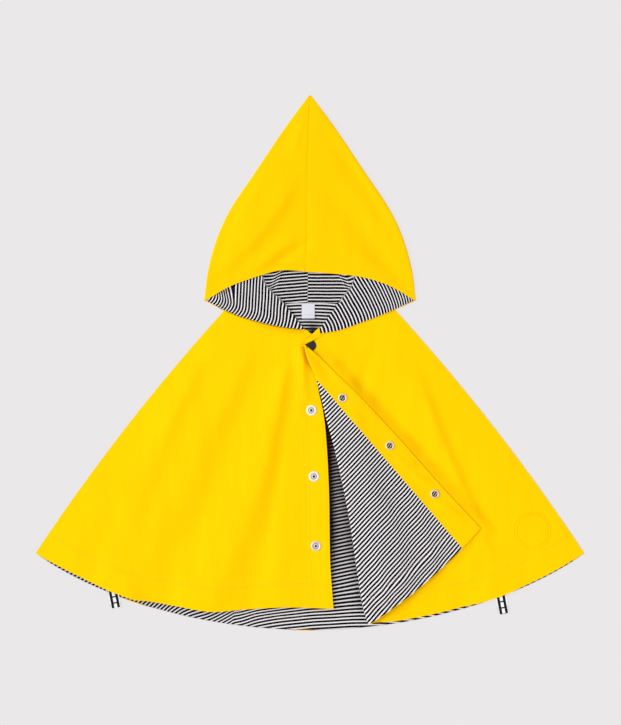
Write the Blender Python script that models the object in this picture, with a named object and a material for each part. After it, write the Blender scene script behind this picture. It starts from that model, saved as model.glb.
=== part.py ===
# Baby rain cape laid flat, face up: hood above, hem towards -Y, one front turned back.
# The underside of the back rests on z = 0. Left and right are as seen from above.
# Sizes are in millimetres and become metres as each piece is made.
import math
from collections import namedtuple

import bmesh
import bpy
from mathutils import Matrix, Vector
from mathutils.geometry import interpolate_bezier

MM = 0.001

# Cloth
SHELL = 1.4
LINING = 1.0
GAP = 0.3

# Cape body
HALF_WIDTH = 329.5
CORNER_Y = -229.4
HEM_LOW = -321.0
HEM_ROUND = 0.88
SIDE_BULGE = 9.6
NECK_SIDE = (62.0, 106.0)
NECK_SEAM_Y = 71.2
SEAM_TURN = 9.0
SEAM_STRIP = 12.0
HEM_RIM = 1.2
LINING_INSET = 14.0
LINING_NECK_SHARE = 0.82
LINING_NECK_DROP = 14.0

# Turned-back front; FACING_ONLY is the share of its length that has no lining beside the facing
FOLD_RADIUS_NECK = 1.8
FOLD_RADIUS_HEM = 3.4
FLAP_REST = 4.2
FACING_ONLY = 0.135
FLAP_CLEARANCE = 28.0
UNDER_FOLD_LIFT = SHELL + GAP
WRAP_UNDER = 7.0
FACING_EDGE = 1.0
NARROWEST_LINING = 0.05

# Hood
HOOD_SEPARATION = 3.6
HOOD_PUFF = 5.0
APEX_WIDTH = 1.8
SEAM_HALF_GAP = 0.15
CREASE_STRIP = 6.0
HOOD_ROWS = 15
NECK_ROW = 12
HOOD_LINING_ROW = 8
CHEEK_RIM = 0.006

# Neck bindings and label
BINDING_SPREAD = 5.0
LABEL_HALF_WIDTH = 8.2
LABEL_HEIGHT = 16.8
LABEL_CENTRE_X = -2.2
LABEL_SEAM_GAP = 1.4
LABEL_CURL = 0.8

# Snaps
SNAP_SIDES = 16
CAP_RADIUS = 6.4
CAP_HEIGHT = 1.5

# Tape loops at the hem
TAPE_WIDTH = 12.0
TAPE_ROOT = 8.0
TAPE_DROP = 9.0
TAPE_WALL = 1.4

Point = namedtuple("Point", "x y")
Fold = namedtuple("Fold", "x_start y_start x_end y_end width_start width_end height")
Spot = namedtuple("Spot", "name x y")
Loop = namedtuple("Loop", "name x reach turn")

# Edge lines, each from its top or its outer end
BACK_NECK = (
    Point(-62.0, 106.0), Point(-49.0, 86.0), Point(-42.5, 75.4), Point(-37.0, 70.6),
    Point(-28.0, 71.0), Point(0.0, 71.0), Point(28.0, 71.0), Point(37.0, 70.6),
    Point(42.5, 75.4), Point(49.0, 86.0), Point(62.0, 106.0),
)
LEFT_NECK = (
    Point(-62.0, 106.0), Point(-52.0, 90.0), Point(-39.0, 72.0), Point(-8.0, 41.0),
    Point(3.6, 33.2), Point(9.6, 28.0),
)
LEFT_EDGE = (
    Point(9.6, 28.0), Point(8.4, -21.2), Point(16.2, -63.2), Point(19.9, -101.6),
    Point(22.7, -160.4), Point(24.0, -240.0), Point(28.0, -295.6),
)
LEFT_HEM = (
    Point(-329.5, -229.4), Point(-292.8, -249.4), Point(-244.8, -272.4), Point(-190.0, -287.6),
    Point(-118.8, -299.0), Point(-76.8, -296.4), Point(-28.8, -294.0), Point(28.0, -295.6),
)
RIGHT_NECK = (
    Point(62.0, 106.0), Point(52.0, 90.0), Point(41.0, 72.0), Point(28.0, 54.0),
    Point(19.5, 44.8), Point(11.0, 40.4), Point(3.6, 33.4), Point(-5.4, 24.2),
)
FOLD_EDGE = (
    Point(-7.2, 20.6), Point(-3.0, 4.0), Point(7.6, -21.0), Point(19.2, -66.8),
    Point(31.8, -114.8), Point(46.8, -188.0), Point(61.2, -282.8), Point(69.6, -314.0),
)
FLAP_EDGE = (
    Point(-6.4, 20.8), Point(0.2, 15.8), Point(5.2, 11.4), Point(14.4, 3.4),
    Point(31.2, -13.4), Point(60.0, -41.6), Point(108.0, -93.2), Point(156.0, -147.2),
    Point(204.7, -199.4),
)
FLAP_HEM_BULGE = 6.0
FACING_SEAM = (Point(7.9, -20.9), Point(179.0, -219.1))

HOOD_SIDE = (
    Point(0.0, 321.0), Point(31.2, 278.8), Point(63.6, 230.8), Point(95.0, 184.0),
    Point(112.2, 147.0), Point(122.6, 109.0), Point(127.2, 74.0),
)
HOOD_SEAM = (Point(0.0, 320.0), Point(-2.4, 243.0), Point(-5.0, 109.0))
HOOD_BACK_SEAM = (Point(0.0, 320.0), Point(-3.0, NECK_SEAM_Y + GAP))
FOREHEAD = {
    -1: (Point(-127.2, 74.6), Point(-96.0, 91.9), Point(-57.6, 105.2), Point(-33.0, 110.6),
         Point(-5.0, 109.0)),
    1: (Point(127.2, 74.6), Point(108.6, 86.2), Point(85.7, 96.6), Point(52.8, 104.3),
        Point(-5.0, 109.0)),
}
CHEEK_EDGE = {
    -1: (Point(-127.2, 73.4), Point(-93.6, 57.4), Point(-64.8, 48.4), Point(-37.7, 42.4),
         Point(-7.2, 38.8)),
    1: (Point(127.2, 73.4), Point(95.3, 59.2), Point(66.7, 48.4), Point(36.0, 37.9),
        Point(13.7, 34.0)),
}
CHEEK_CREASE = {
    -1: (Point(0.0, 320.0), Point(-38.0, 240.0), Point(-60.0, 170.0), Point(-57.6, 102.4),
         Point(-32.4, NECK_SEAM_Y + GAP)),
    1: (Point(0.0, 320.0), Point(38.0, 240.0), Point(57.0, 170.0), Point(54.0, 102.4),
        Point(34.8, NECK_SEAM_Y + GAP)),
}

# Largest folds of each piece, as ridges
LEFT_FOLDS = (
    Fold(-21.6, -5.0, -118.0, -325.0, 8.0, 26.0, 4.6),
    Fold(-70.0, 24.0, -240.0, -305.0, 12.0, 34.0, 4.2),
    Fold(-104.0, 34.0, -262.0, -265.0, 12.0, 26.0, 2.4),
    Fold(-18.0, -50.0, -46.0, -340.0, 7.0, 13.0, 2.8),
    Fold(8.0, -30.0, 28.0, -330.0, 10.0, 14.0, 4.0),
)
RIGHT_FOLDS = (
    Fold(92.0, 44.0, 205.0, -240.0, 13.0, 17.0, 4.4),
    Fold(122.0, 46.0, 268.0, -300.0, 12.0, 30.0, 3.4),
    Fold(60.0, 26.0, 96.0, -70.0, 12.0, 12.0, 2.4),
)
HOOD_FOLDS = (
    Fold(-34.0, 212.0, -122.0, 92.0, 13.0, 15.0, 3.4),
    Fold(-10.0, 160.0, -92.0, 110.0, 7.0, 9.0, 2.2),
    Fold(10.0, 285.0, 116.0, 96.0, 10.0, 13.0, 2.8),
    Fold(22.0, 210.0, 108.0, 92.0, 10.0, 10.0, 2.4),
)

LEFT_STUDS = (
    Spot("snap_stud_1", 1.6, -57.6),
    Spot("snap_stud_2", 4.7, -136.9),
    Spot("snap_stud_3", 7.1, -220.3),
)
FLAP_SOCKETS = (
    Spot("snap_socket_1", 38.9, -42.6),
    Spot("snap_socket_2", 95.5, -99.8),
    Spot("snap_socket_3", 149.4, -157.7),
)
NECK_CAP = Spot("snap_cap_neck", 1.0, 20.2)
HEM_LOOPS = (
    Loop("tape_loop_left", -236.0, 16.2, 10.0),
    Loop("tape_loop_right", 229.0, 21.0, 11.0),
)

# Radius and height rows of the turned metal pieces, from the middle outwards
STUD_PROFILE = (
    (0.0, 0.0), (6.2, 0.0), (6.2, 0.4), (5.4, 1.2), (4.0, 1.2), (3.4, 0.6),
    (2.1, 0.6), (1.6, 1.4), (1.9, 2.0), (1.5, 2.4), (0.0, 2.4),
)
SOCKET_PROFILE = (
    (0.0, 0.0), (5.3, 0.0), (5.3, 0.8), (4.6, 1.5), (3.2, 1.5), (2.6, 1.1),
    (2.1, 1.1), (2.0, 0.5), (0.0, 0.5),
)
CAP_PROFILE = (
    (0.0, 0.0), (5.9, 0.0), (CAP_RADIUS, 0.4), (5.5, 1.0), (3.5, CAP_HEIGHT - 0.1),
    (0.0, CAP_HEIGHT),
)


def smooth(low, high, value):
    # 0 below low, 1 above high and an even S between them
    t = min(max((value - low) / (high - low), 0.0), 1.0)
    return t * t * (3.0 - 2.0 * t)


def mix(start, end, t):
    return start + (end - start) * t


def spaced(start, end, cells):
    return [mix(start, end, step / cells) for step in range(cells + 1)]


def curve(rows, mirror=1.0):
    # Smooth line through a table's points, read by the share of its length
    knots = [Vector((row.x * mirror, row.y, 0.0)) for row in rows]
    ends = [knots[0] * 2 - knots[1]] + knots + [knots[-1] * 2 - knots[-2]]
    fine = [knots[0]]
    for before, start, end, after in zip(ends, ends[1:], ends[2:], ends[3:]):
        handle_out = start + (end - before) / 6
        handle_in = end - (after - start) / 6
        fine.extend(interpolate_bezier(start, handle_out, handle_in, end, 24)[1:])
    reach = [0.0]
    for start, end in zip(fine, fine[1:]):
        reach.append(reach[-1] + (end - start).length)

    def at(t):
        goal = min(max(t, 0.0), 1.0) * reach[-1]
        index = next(i for i, far in enumerate(reach[1:]) if far >= goal - 1e-9)
        share = (goal - reach[index]) / (reach[index + 1] - reach[index])
        return fine[index].lerp(fine[index + 1], share)

    return at


def bowed(start, end, bulge):
    # Line from start to end that bows to its left by bulge
    start, end = Vector((*start, 0.0)), Vector((*end, 0.0))
    left = Vector((start.y - end.y, end.x - start.x, 0.0)).normalized()

    def at(t):
        return start.lerp(end, t) + left * bulge * 4.0 * t * (1.0 - t)

    return at


def normal(line, t, side):
    # Level direction square to a line, towards side (1 is the line's left)
    step = 0.01
    along = line(min(t + step, 1.0)) - line(max(t - step, 0.0))
    return Vector((-along.y, along.x, 0.0)).normalized() * side


def patch(first, last, top, bottom):
    # Level surface between four edge lines: u runs from first to last, v from top to bottom
    corners = (top(0.0), top(1.0), bottom(0.0), bottom(1.0))

    def at(u, v):
        across = first(v).lerp(last(v), u)
        down = top(u).lerp(bottom(u), v)
        flat = corners[0].lerp(corners[1], u).lerp(corners[2].lerp(corners[3], u), v)
        return across + down - flat

    return at


def straight(start, end):
    return lambda t: start.lerp(end, t)


def relief(x, y, folds):
    # Height of soft ridges that fade at both ends
    height = 0.0
    for fold in folds:
        start = Vector((fold.x_start, fold.y_start))
        along = Vector((fold.x_end, fold.y_end)) - start
        offset = Vector((x, y)) - start
        t = offset.dot(along) / along.length_squared
        width = mix(fold.width_start, fold.width_end, min(max(t, 0.0), 1.0))
        away = (offset - along * t).length / width
        height += fold.height * smooth(0.0, 0.3, t) * smooth(1.0, 0.75, t) * math.exp(-away * away)
    return height


def hem_y(x):
    t = abs(x) / HALF_WIDTH
    return HEM_LOW + (CORNER_Y - HEM_LOW) * (HEM_ROUND * t ** 2 + (1.0 - HEM_ROUND) * t ** 6)


def hem_line(half_width, rise):
    def at(t):
        x = mix(-half_width, half_width, t)
        return Vector((x, hem_y(x) + rise, 0.0))

    return at


def side_line(mirror):
    start = (NECK_SIDE[0] * mirror, NECK_SIDE[1])
    return bowed(start, (HALF_WIDTH * mirror, CORNER_Y), SIDE_BULGE * mirror)


def side_depth(x, y):
    # How far a point lies inside the side seams, negative outside them
    start = Vector(NECK_SIDE)
    along = Vector((HALF_WIDTH, CORNER_Y)) - start
    offset = Vector((abs(x), y)) - start
    t = min(max(offset.dot(along) / along.length_squared, 0.0), 1.0)
    outwards = Vector((-along.y, along.x)).normalized()
    return SIDE_BULGE * 4.0 * t * (1.0 - t) - offset.dot(outwards)


def tape_lift(x, y):
    # The fronts rise over the root of each tape loop
    lift = 0.0
    for loop in HEM_LOOPS:
        away = math.hypot(x - loop.x, y - hem_y(loop.x))
        lift += (TAPE_WALL + GAP) * smooth(3.5 * TAPE_WIDTH, 1.5 * TAPE_WIDTH, away)
    return lift


def front_floor(x, y, ridges):
    # Underside of a front: on the back lining, turned down at the side seam, raised by its ridges
    depth = side_depth(x, y)
    lining_room = (LINING + GAP) * smooth(0.0, SEAM_TURN, depth)
    clear = smooth(34.0, 4.0, y) * smooth(0.0, 4.0 * SEAM_TURN, depth)
    return SHELL + GAP + lining_room + ridges * clear + tape_lift(x, y)


def from_side(c, width):
    # Share of the way across a front: columns 0 to 1 span the turned-down side seam
    strip = min(SEAM_STRIP / width, 0.3)
    return c * strip if c < 1.0 else mix(strip, 1.0, c - 1.0)


def left_floor(x, y):
    return front_floor(x, y, relief(x, y, LEFT_FOLDS))


fold_line = curve(FOLD_EDGE)
flap_line = curve(FLAP_EDGE)


def fold_radius(v):
    return mix(FOLD_RADIUS_NECK, FOLD_RADIUS_HEM, v)


def fold_base(v):
    # The fold's visible edge, moved in by its own radius, the wall and the lining over it
    over = (LINING + GAP) * smooth(0.6 * FACING_ONLY, FACING_ONLY, v)
    return fold_line(v) + normal(fold_line, v, 1.0) * (fold_radius(v) + SHELL / 2 + over)


def past_line(x, y, start, end):
    # Distance to the left of the line from start to end
    along = (end - start).normalized()
    return along.x * (y - start.y) - along.y * (x - start.x)


def clear_of_flap(x, y):
    # 0 under the turned-back part and 1 well outside it
    corner = flap_line(1.0)
    past_edge = past_line(x, y, corner, flap_line(0.3))
    past_hem = past_line(x, y, fold_line(1.0), corner)
    return smooth(0.0, FLAP_CLEARANCE, max(-past_edge, -past_hem))


def fold_lift(x, y):
    # Room near the fold, where the lining wraps under it and the fronts lap at the neck
    spot = Vector((x, y, 0.0))
    away = min((spot - fold_line(step / 12)).length for step in range(13))
    return UNDER_FOLD_LIFT * smooth(62.0, 26.0, away)


def right_floor(x, y):
    return front_floor(x, y, relief(x, y, RIGHT_FOLDS) * clear_of_flap(x, y)) + fold_lift(x, y)


def cheek_floor(side, x, y):
    # Underside of the hood's lower layer: on the fronts, and down to the floor past the body
    front_top = 2 * SHELL + LINING + 3 * GAP + (fold_lift(x, y) if side > 0 else 0.0)
    over_body = smooth(-32.0, -11.0, side_depth(x, y)) * smooth(152.0, 118.0, y)
    return (front_top + GAP) * over_body


def make_material(name, colour, roughness, metallic):
    material = bpy.data.materials.new(name)
    material.use_nodes = True
    shader = material.node_tree.nodes["Principled BSDF"]
    shader.inputs["Base Color"].default_value = (*colour, 1.0)
    shader.inputs["Roughness"].default_value = roughness
    shader.inputs["Metallic"].default_value = metallic
    return material


def finish(name, bm, material):
    bmesh.ops.scale(bm, vec=(MM, MM, MM), verts=bm.verts)
    bmesh.ops.recalc_face_normals(bm, faces=bm.faces)
    mesh = bpy.data.meshes.new(name)
    bm.to_mesh(mesh)
    bm.free()
    mesh.shade_smooth()
    mesh.set_sharp_from_angle(angle=math.radians(40))
    mesh.materials.append(material)
    piece = bpy.data.objects.new(name, mesh)
    bpy.context.scene.collection.objects.link(piece)
    return piece


def cloth(name, place, columns, rows, lifts, material, keep=None):
    # Closed cloth wall: a grid laid out by place(column, row, lift) and extruded to its other face
    bm = bmesh.new()
    cells_across, cells_down = len(columns) - 1, len(rows) - 1
    bmesh.ops.create_grid(bm, x_segments=cells_across, y_segments=cells_down, size=0.5)
    column_layer = bm.verts.layers.int.new("column")
    row_layer = bm.verts.layers.int.new("row")
    for vert in bm.verts:
        vert[column_layer] = round((vert.co.x + 0.5) * cells_across)
        vert[row_layer] = round((vert.co.y + 0.5) * cells_down)
    if keep:
        dropped = [
            face for face in bm.faces
            if not keep(
                min(vert[column_layer] for vert in face.verts),
                min(vert[row_layer] for vert in face.verts),
            )
        ]
        bmesh.ops.delete(bm, geom=dropped, context="FACES")
    first_side = list(bm.verts)
    grown = bmesh.ops.extrude_face_region(bm, geom=bm.faces[:])
    second_side = [item for item in grown["geom"] if isinstance(item, bmesh.types.BMVert)]
    for side, lift in ((first_side, lifts[0]), (second_side, lifts[1])):
        for vert in side:
            vert.co = place(columns[vert[column_layer]], rows[vert[row_layer]], lift)
    return finish(name, bm, material)


def make_back(shell, lining):
    back_plan = patch(side_line(-1), side_line(1), curve(BACK_NECK), hem_line(HALF_WIDTH, 0.0))

    def back(u, v, lift):
        return back_plan(u, v) + Vector((0.0, 0.0, lift))

    cloth("back_panel", back, spaced(0, 1, 22), spaced(0, 1, 12), (0.0, SHELL), shell)

    def lining_neck(row):
        drop = HEM_RIM if abs(row.x) < 40.0 else LINING_NECK_DROP
        return Point(row.x * LINING_NECK_SHARE, row.y - drop)

    top = curve([lining_neck(row) for row in BACK_NECK])
    hem = hem_line(HALF_WIDTH - LINING_INSET, HEM_RIM)
    left = bowed(top(0.0).xy, hem(0.0).xy, -SIDE_BULGE)
    right = bowed(top(1.0).xy, hem(1.0).xy, SIDE_BULGE)
    lining_plan = patch(left, right, top, hem)

    def back_lining(u, v, lift):
        return lining_plan(u, v) + Vector((0.0, 0.0, SHELL + GAP + lift))

    cloth("back_lining", back_lining, spaced(0, 1, 18), spaced(0, 1, 10), (0.0, LINING), lining)


def make_left_front(shell):
    plan = patch(side_line(-1), curve(LEFT_EDGE), curve(LEFT_NECK), curve(LEFT_HEM))

    def front(c, v, lift):
        width = (plan(1.0, v) - plan(0.0, v)).length
        spot = plan(from_side(c, width), v)
        spot.z = left_floor(spot.x, spot.y) + lift
        return spot

    columns = [0.0] + spaced(1, 2, 17)
    cloth("front_left", front, columns, spaced(0, 1, 15), (0.0, SHELL), shell)


def right_front_place():
    # Columns -1 to 0 span the side seam's strip, 0 to 1 run on to the fold, 1 to 2 round it and
    # 2 to 3 to the free edge
    def right_hem(t):
        # Along the back's hem and, past the corner, above it by as much as the fold's end is
        end = fold_base(1.0)
        x = mix(HALF_WIDTH, end.x, t)
        return Vector((x, hem_y(x) + (end.y - hem_y(end.x)) * smooth(0.0, 0.3, t), 0.0))

    def neck(t):
        line = curve(RIGHT_NECK)
        return line(t) + (fold_base(0.0) - line(1.0)) * t ** 3

    lower = patch(side_line(1), fold_base, neck, right_hem)
    flap_hem = bowed(fold_base(1.0).xy, flap_line(1.0).xy, -FLAP_HEM_BULGE)
    upper = patch(fold_base, flap_line, straight(fold_base(0.0), flap_line(0.0)), flap_hem)

    def middle_height(x, y):
        return right_floor(x, y) + SHELL / 2

    def place(a, v, lift):
        radius = fold_radius(v)
        if a <= 1.0:
            width = (side_line(1)(v) - fold_base(v)).length
            spot = lower(from_side(a + 1.0, width), v)
            spot.z = middle_height(spot.x, spot.y) - lift
        elif a < 2.0:
            angle = math.pi * (a - 1.5)
            base = fold_base(v)
            outwards = normal(fold_line, v, -1.0)
            spot = base + outwards * (radius + lift) * math.cos(angle)
            spot.z = middle_height(base.x, base.y) + radius + (radius + lift) * math.sin(angle)
        else:
            u = a - 2.0
            spot = upper(u, v)
            over_cap = (CAP_HEIGHT + GAP) * smooth(0.22, FACING_ONLY, v)
            apart = mix(2 * radius, FLAP_REST + over_cap, smooth(0.0, 0.8, u))
            spot.z = middle_height(spot.x, spot.y) + apart + lift
        return spot

    return place


def seam_share(v):
    # Where the facing's seam crosses the flap, as a share of the way to its free edge
    if v < FACING_ONLY:
        return 0.0
    start, end = fold_base(v), flap_line(v)
    seam_start, seam_end = (Vector((row.x, row.y, 0.0)) for row in FACING_SEAM)
    along, seam = end - start, seam_end - seam_start
    offset = seam_start - start
    return (offset.x * seam.y - offset.y * seam.x) / (along.x * seam.y - along.y * seam.x)


def make_right_front(shell, lining):
    place = right_front_place()
    rows = spaced(0, FACING_ONLY, 3) + spaced(FACING_ONLY, 1, 13)[1:]
    half_round = spaced(1, 2, 6)
    columns = [-1.0] + spaced(0, 1, 12)[:-1] + half_round + spaced(2, 3, 7)[1:]
    cloth("front_right", place, columns, rows, (-SHELL / 2, SHELL / 2), shell)

    low = SHELL / 2 + GAP
    lifts = (low, low + LINING)
    inner_rows = rows[:-1] + [1.0 - HEM_RIM / (fold_line(1.0) - fold_line(0.0)).length]

    def lining_place(c, v, lift):
        if c < 1.0:
            width = (side_line(1)(v) - fold_base(v)).length
            return place(1.0 - (1.0 - c) * WRAP_UNDER / width, v, lift)
        if c > 2.0:
            return place(2.0 + (c - 2.0) * max(seam_share(v), NARROWEST_LINING), v, lift)
        return place(c, v, lift)

    lining_columns = [0.0] + half_round + spaced(2, 3, 6)[1:]
    cloth("front_right_lining", lining_place, lining_columns, inner_rows[3:], lifts, lining)

    def facing_place(c, v, lift):
        width = (flap_line(v) - fold_base(v)).length
        seam = 0.0 if v < FACING_ONLY else max(seam_share(v), NARROWEST_LINING)
        return place(2.0 + mix(seam + GAP / width, 1.0 - FACING_EDGE / width, c), v, lift)

    cloth("front_right_facing", facing_place, spaced(0, 1, 5), inner_rows[1:], lifts, shell)


def hood_place(side):
    # Columns 0 to 1: top layer from the seam to the fold, 1 to 2: round the fold, 2 to 3: lower
    # layer to the cheek's roll, 3 to 4: step down at the roll, 4 to 5: on to the back seam
    outline = curve(HOOD_SIDE, side)
    radius = HOOD_SEPARATION / 2
    top_seam, back_seam = curve(HOOD_SEAM), curve(HOOD_BACK_SEAM)
    forehead, cheek = curve(FOREHEAD[side]), curve(CHEEK_EDGE[side])
    crease = curve(CHEEK_CREASE[side])
    neck_share = NECK_ROW / HOOD_ROWS

    def side_base(v):
        inset = (radius + SHELL / 2) * smooth(-0.05, 0.05, v)
        apart = Vector((side * APEX_WIDTH * (1.0 - v), 0.0, 0.0))
        return outline(v) + normal(outline, v, -side) * inset + apart

    def seam_line(line, offset):
        return lambda t: line(t) + Vector((side * offset, 0.0, 0.0))

    top_centre = seam_line(top_seam, SEAM_HALF_GAP)
    back_centre = seam_line(back_seam, SEAM_HALF_GAP)

    def roll_line(v):
        # Down the crease to the neck seam, then straight on to the cheek's point
        below = max(v - neck_share, 0.0) / (1.0 - neck_share)
        apart = Vector((side * APEX_WIDTH / 2 * (1.0 - v), 0.0, 0.0))
        return crease(v / neck_share).lerp(cheek(1.0), below) + apart

    def edge(line, start, end):
        # An edge table, drawn in so that its ends meet the neighbouring lines
        return lambda t: line(t) + (start - line(0.0)) * (1 - t) + (end - line(1.0)) * t

    top_plan = patch(
        top_centre, side_base, straight(top_centre(0.0), side_base(0.0)),
        edge(lambda t: forehead(1.0 - t), top_centre(1.0), side_base(1.0)))
    cheek_plan = patch(
        side_base, roll_line, straight(side_base(0.0), roll_line(0.0)),
        edge(cheek, side_base(1.0), roll_line(1.0)))

    def middle(x, y):
        return cheek_floor(side, x, y) + SHELL / 2

    def back_point(c, v):
        start = roll_line(v)
        end = back_centre(min(v / neck_share, 1.0))
        strip = min(CREASE_STRIP / max((end - start).length, 0.1), 0.5)
        share = (c - 3.0) * strip if c < 4.0 else mix(strip, 1.0, c - 4.0)
        return start.lerp(end, share)

    def place(a, v, lift):
        if a < 1.0:
            spot = top_plan(a, v)
            along = smooth(0.0, 0.55, v) * mix(1.0, 0.55, smooth(0.7, 1.0, v))
            crown = HOOD_PUFF * (1.0 - a ** 3) * along
            ridges = relief(spot.x, spot.y, HOOD_FOLDS) * smooth(0.0, 0.25, 1.0 - a)
            spot.z = middle(spot.x, spot.y) + HOOD_SEPARATION + crown + ridges + lift
        elif a < 2.0:
            angle = math.pi * (1.5 - a)
            base = side_base(v)
            outwards = normal(outline, v, side)
            spot = base + outwards * (radius + lift) * math.cos(angle)
            spot.z = middle(base.x, base.y) + radius + (radius + lift) * math.sin(angle)
        elif a <= 3.0:
            spot = cheek_plan(a - 2.0, v)
            spot.z = middle(spot.x, spot.y) - lift
        else:
            spot = back_point(a, v)
            start = roll_line(v)
            down = smooth(3.0, 4.0, a)
            spot.z = mix(middle(start.x, start.y), SHELL / 2, down) - lift
        return spot

    return place


def make_hood(shell, lining):
    rows = spaced(0, 1, HOOD_ROWS)
    lower_columns = [2.0, 2.05] + spaced(2.18, 3, 5) + spaced(3, 4, 2)[1:] + spaced(4, 5, 3)[1:]
    columns = spaced(0, 1, 8)[:-1] + spaced(1, 2, 5)[:-1] + lower_columns
    low = SHELL / 2 + GAP
    for side, word in ((-1, "left"), (1, "right")):
        place = hood_place(side)

        def lining_place(c, v, lift):
            return place(c, min(v, 1.0 - CHEEK_RIM) if c < 3.0 else v, lift)

        roll_column = columns.index(3)
        cloth(
            "hood_" + word, place, columns, rows, (-SHELL / 2, SHELL / 2), shell,
            keep=lambda column, row: column < roll_column or row < NECK_ROW)
        lining_columns = lower_columns[1:]
        lining_roll = lining_columns.index(3)
        cloth(
            "hood_lining_" + word, lining_place, lining_columns, rows[HOOD_LINING_ROW:],
            (-low, -low - LINING), lining,
            keep=lambda column, row: column < lining_roll or row < NECK_ROW - HOOD_LINING_ROW)


def make_bindings(shell):
    # Narrow bindings on the neck edges of the two fronts, either side of the open V
    left_inner = straight(Vector((-4.6, 39.4, 0)), Vector((2.6, 33.2, 0)))
    left_outer = straight(Vector((-8.4, 36.6, 0)), Vector((-1.6, 30.6, 0)))
    right_inner = straight(Vector((10.6, 41.2, 0)), Vector((-6.4, 24.9, 0)))
    right_outer = straight(Vector((14.4, 31.8, 0)), Vector((-5.6, 21.9, 0)))

    def place_left(u, v, lift):
        spot = left_inner(v).lerp(left_outer(v), u)
        spot.z = left_floor(spot.x, spot.y) + SHELL + GAP + lift
        return spot

    def place_right(u, v, lift):
        spot = right_inner(v).lerp(right_outer(v), u)
        away = math.hypot(spot.x - NECK_CAP.x, spot.y - NECK_CAP.y)
        near_cap = smooth(CAP_RADIUS + BINDING_SPREAD, CAP_RADIUS + GAP, away)
        over_cap = (CAP_HEIGHT + 2 * GAP) * near_cap
        spot.z = right_floor(spot.x, spot.y) + SHELL + GAP + over_cap + lift
        return spot

    cloth("neck_binding_left", place_left, spaced(0, 1, 2), spaced(0, 1, 4), (0.0, LINING), shell)
    cloth("neck_binding_right", place_right, spaced(0, 1, 3), spaced(0, 1, 8), (0.0, LINING), shell)


def make_label(white):
    def place(u, v, lift):
        x = LABEL_CENTRE_X + mix(-LABEL_HALF_WIDTH, LABEL_HALF_WIDTH, u)
        y = NECK_SEAM_Y - LABEL_SEAM_GAP - LABEL_HEIGHT * v
        return Vector((x, y, SHELL + LINING + 2 * GAP + LABEL_CURL * v * v + lift))

    cloth("neck_label", place, spaced(0, 1, 3), spaced(0, 1, 4), (0.0, LINING), white)


def make_tapes(tape):
    # Each loop is a tape doubled flat: out from under the front's hem and down to the floor
    root_height = SHELL + LINING + 2 * GAP

    for loop in HEM_LOOPS:
        turn = Matrix.Rotation(math.radians(loop.turn), 3, "Z")

        def place(u, v, lift):
            along = mix(-TAPE_ROOT, loop.reach, v)
            drop = root_height * smooth(2.0, 2.0 + TAPE_DROP, along)
            spot = turn @ Vector((mix(-TAPE_WIDTH / 2, TAPE_WIDTH / 2, u), -along, 0.0))
            return spot + Vector((loop.x, hem_y(loop.x), root_height - drop + lift))

        cloth(loop.name, place, [0.0, 0.5, 1.0], spaced(0, 1, 9), (0.0, TAPE_WALL), tape)


def make_snap(spot, profile, top_height, metal):
    # Turned metal piece seated 0.3 mm over the highest cloth under it
    reach = max(radius for radius, height in profile)
    around = [(0.0, 0.0)] + [
        (reach * math.cos(math.tau * k / 12), reach * math.sin(math.tau * k / 12)) for k in range(12)
    ]
    seat = max(top_height(spot.x + dx, spot.y + dy) for dx, dy in around) + GAP
    bm = bmesh.new()
    verts = [bm.verts.new((radius, 0.0, height)) for radius, height in profile]
    edges = [bm.edges.new(pair) for pair in zip(verts, verts[1:])]
    bmesh.ops.spin(
        bm, geom=verts + edges, axis=(0, 0, 1), cent=(0, 0, 0), angle=math.tau,
        steps=SNAP_SIDES, use_merge=True)
    bmesh.ops.remove_doubles(bm, verts=bm.verts, dist=0.01)
    bmesh.ops.translate(bm, vec=(spot.x, spot.y, seat), verts=bm.verts)
    return finish(spot.name, bm, metal)


def make_snaps(silver, charcoal):
    place = right_front_place()
    flap_points = [
        place(2.0 + u / 24, v / 60, SHELL / 2 + GAP + LINING) for u in range(25) for v in range(61)
    ]

    def left_top(x, y):
        return left_floor(x, y) + SHELL

    def right_top(x, y):
        return right_floor(x, y) + SHELL

    def flap_top(x, y):
        near = sorted(flap_points, key=lambda spot: (spot.x - x) ** 2 + (spot.y - y) ** 2)[:4]
        return max(spot.z for spot in near)

    for spot in LEFT_STUDS:
        make_snap(spot, STUD_PROFILE, left_top, silver)
    for spot in FLAP_SOCKETS:
        make_snap(spot, SOCKET_PROFILE, flap_top, silver)
    make_snap(NECK_CAP, CAP_PROFILE, right_top, charcoal)


def main():
    for old in list(bpy.data.objects):
        bpy.data.objects.remove(old)
    shell = make_material("yellow_coated_cotton", (1.0, 0.66, 0.0), 0.55, 0.0)
    lining = make_material("striped_jersey", (0.32, 0.32, 0.35), 0.85, 0.0)
    white = make_material("white_label_tape", (0.86, 0.86, 0.88), 0.8, 0.0)
    silver = make_material("silver_snap", (0.78, 0.77, 0.75), 0.28, 1.0)
    charcoal = make_material("charcoal_snap", (0.03, 0.03, 0.035), 0.4, 0.0)
    make_back(shell, lining)
    make_left_front(shell)
    make_right_front(shell, lining)
    make_hood(shell, lining)
    make_bindings(shell)
    make_label(white)
    make_tapes(white)
    make_snaps(silver, charcoal)


main()
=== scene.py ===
# Baby rain cape laid flat, face up, its right front turned back to show the striped lining.
# Lengths are in millimetres until a mesh is finished. Left and right are as seen from above.
import bisect
import functools
import math
from collections import namedtuple

import bmesh
import bpy
from mathutils import Matrix, Vector, noise
from mathutils.geometry import interpolate_bezier


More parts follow.
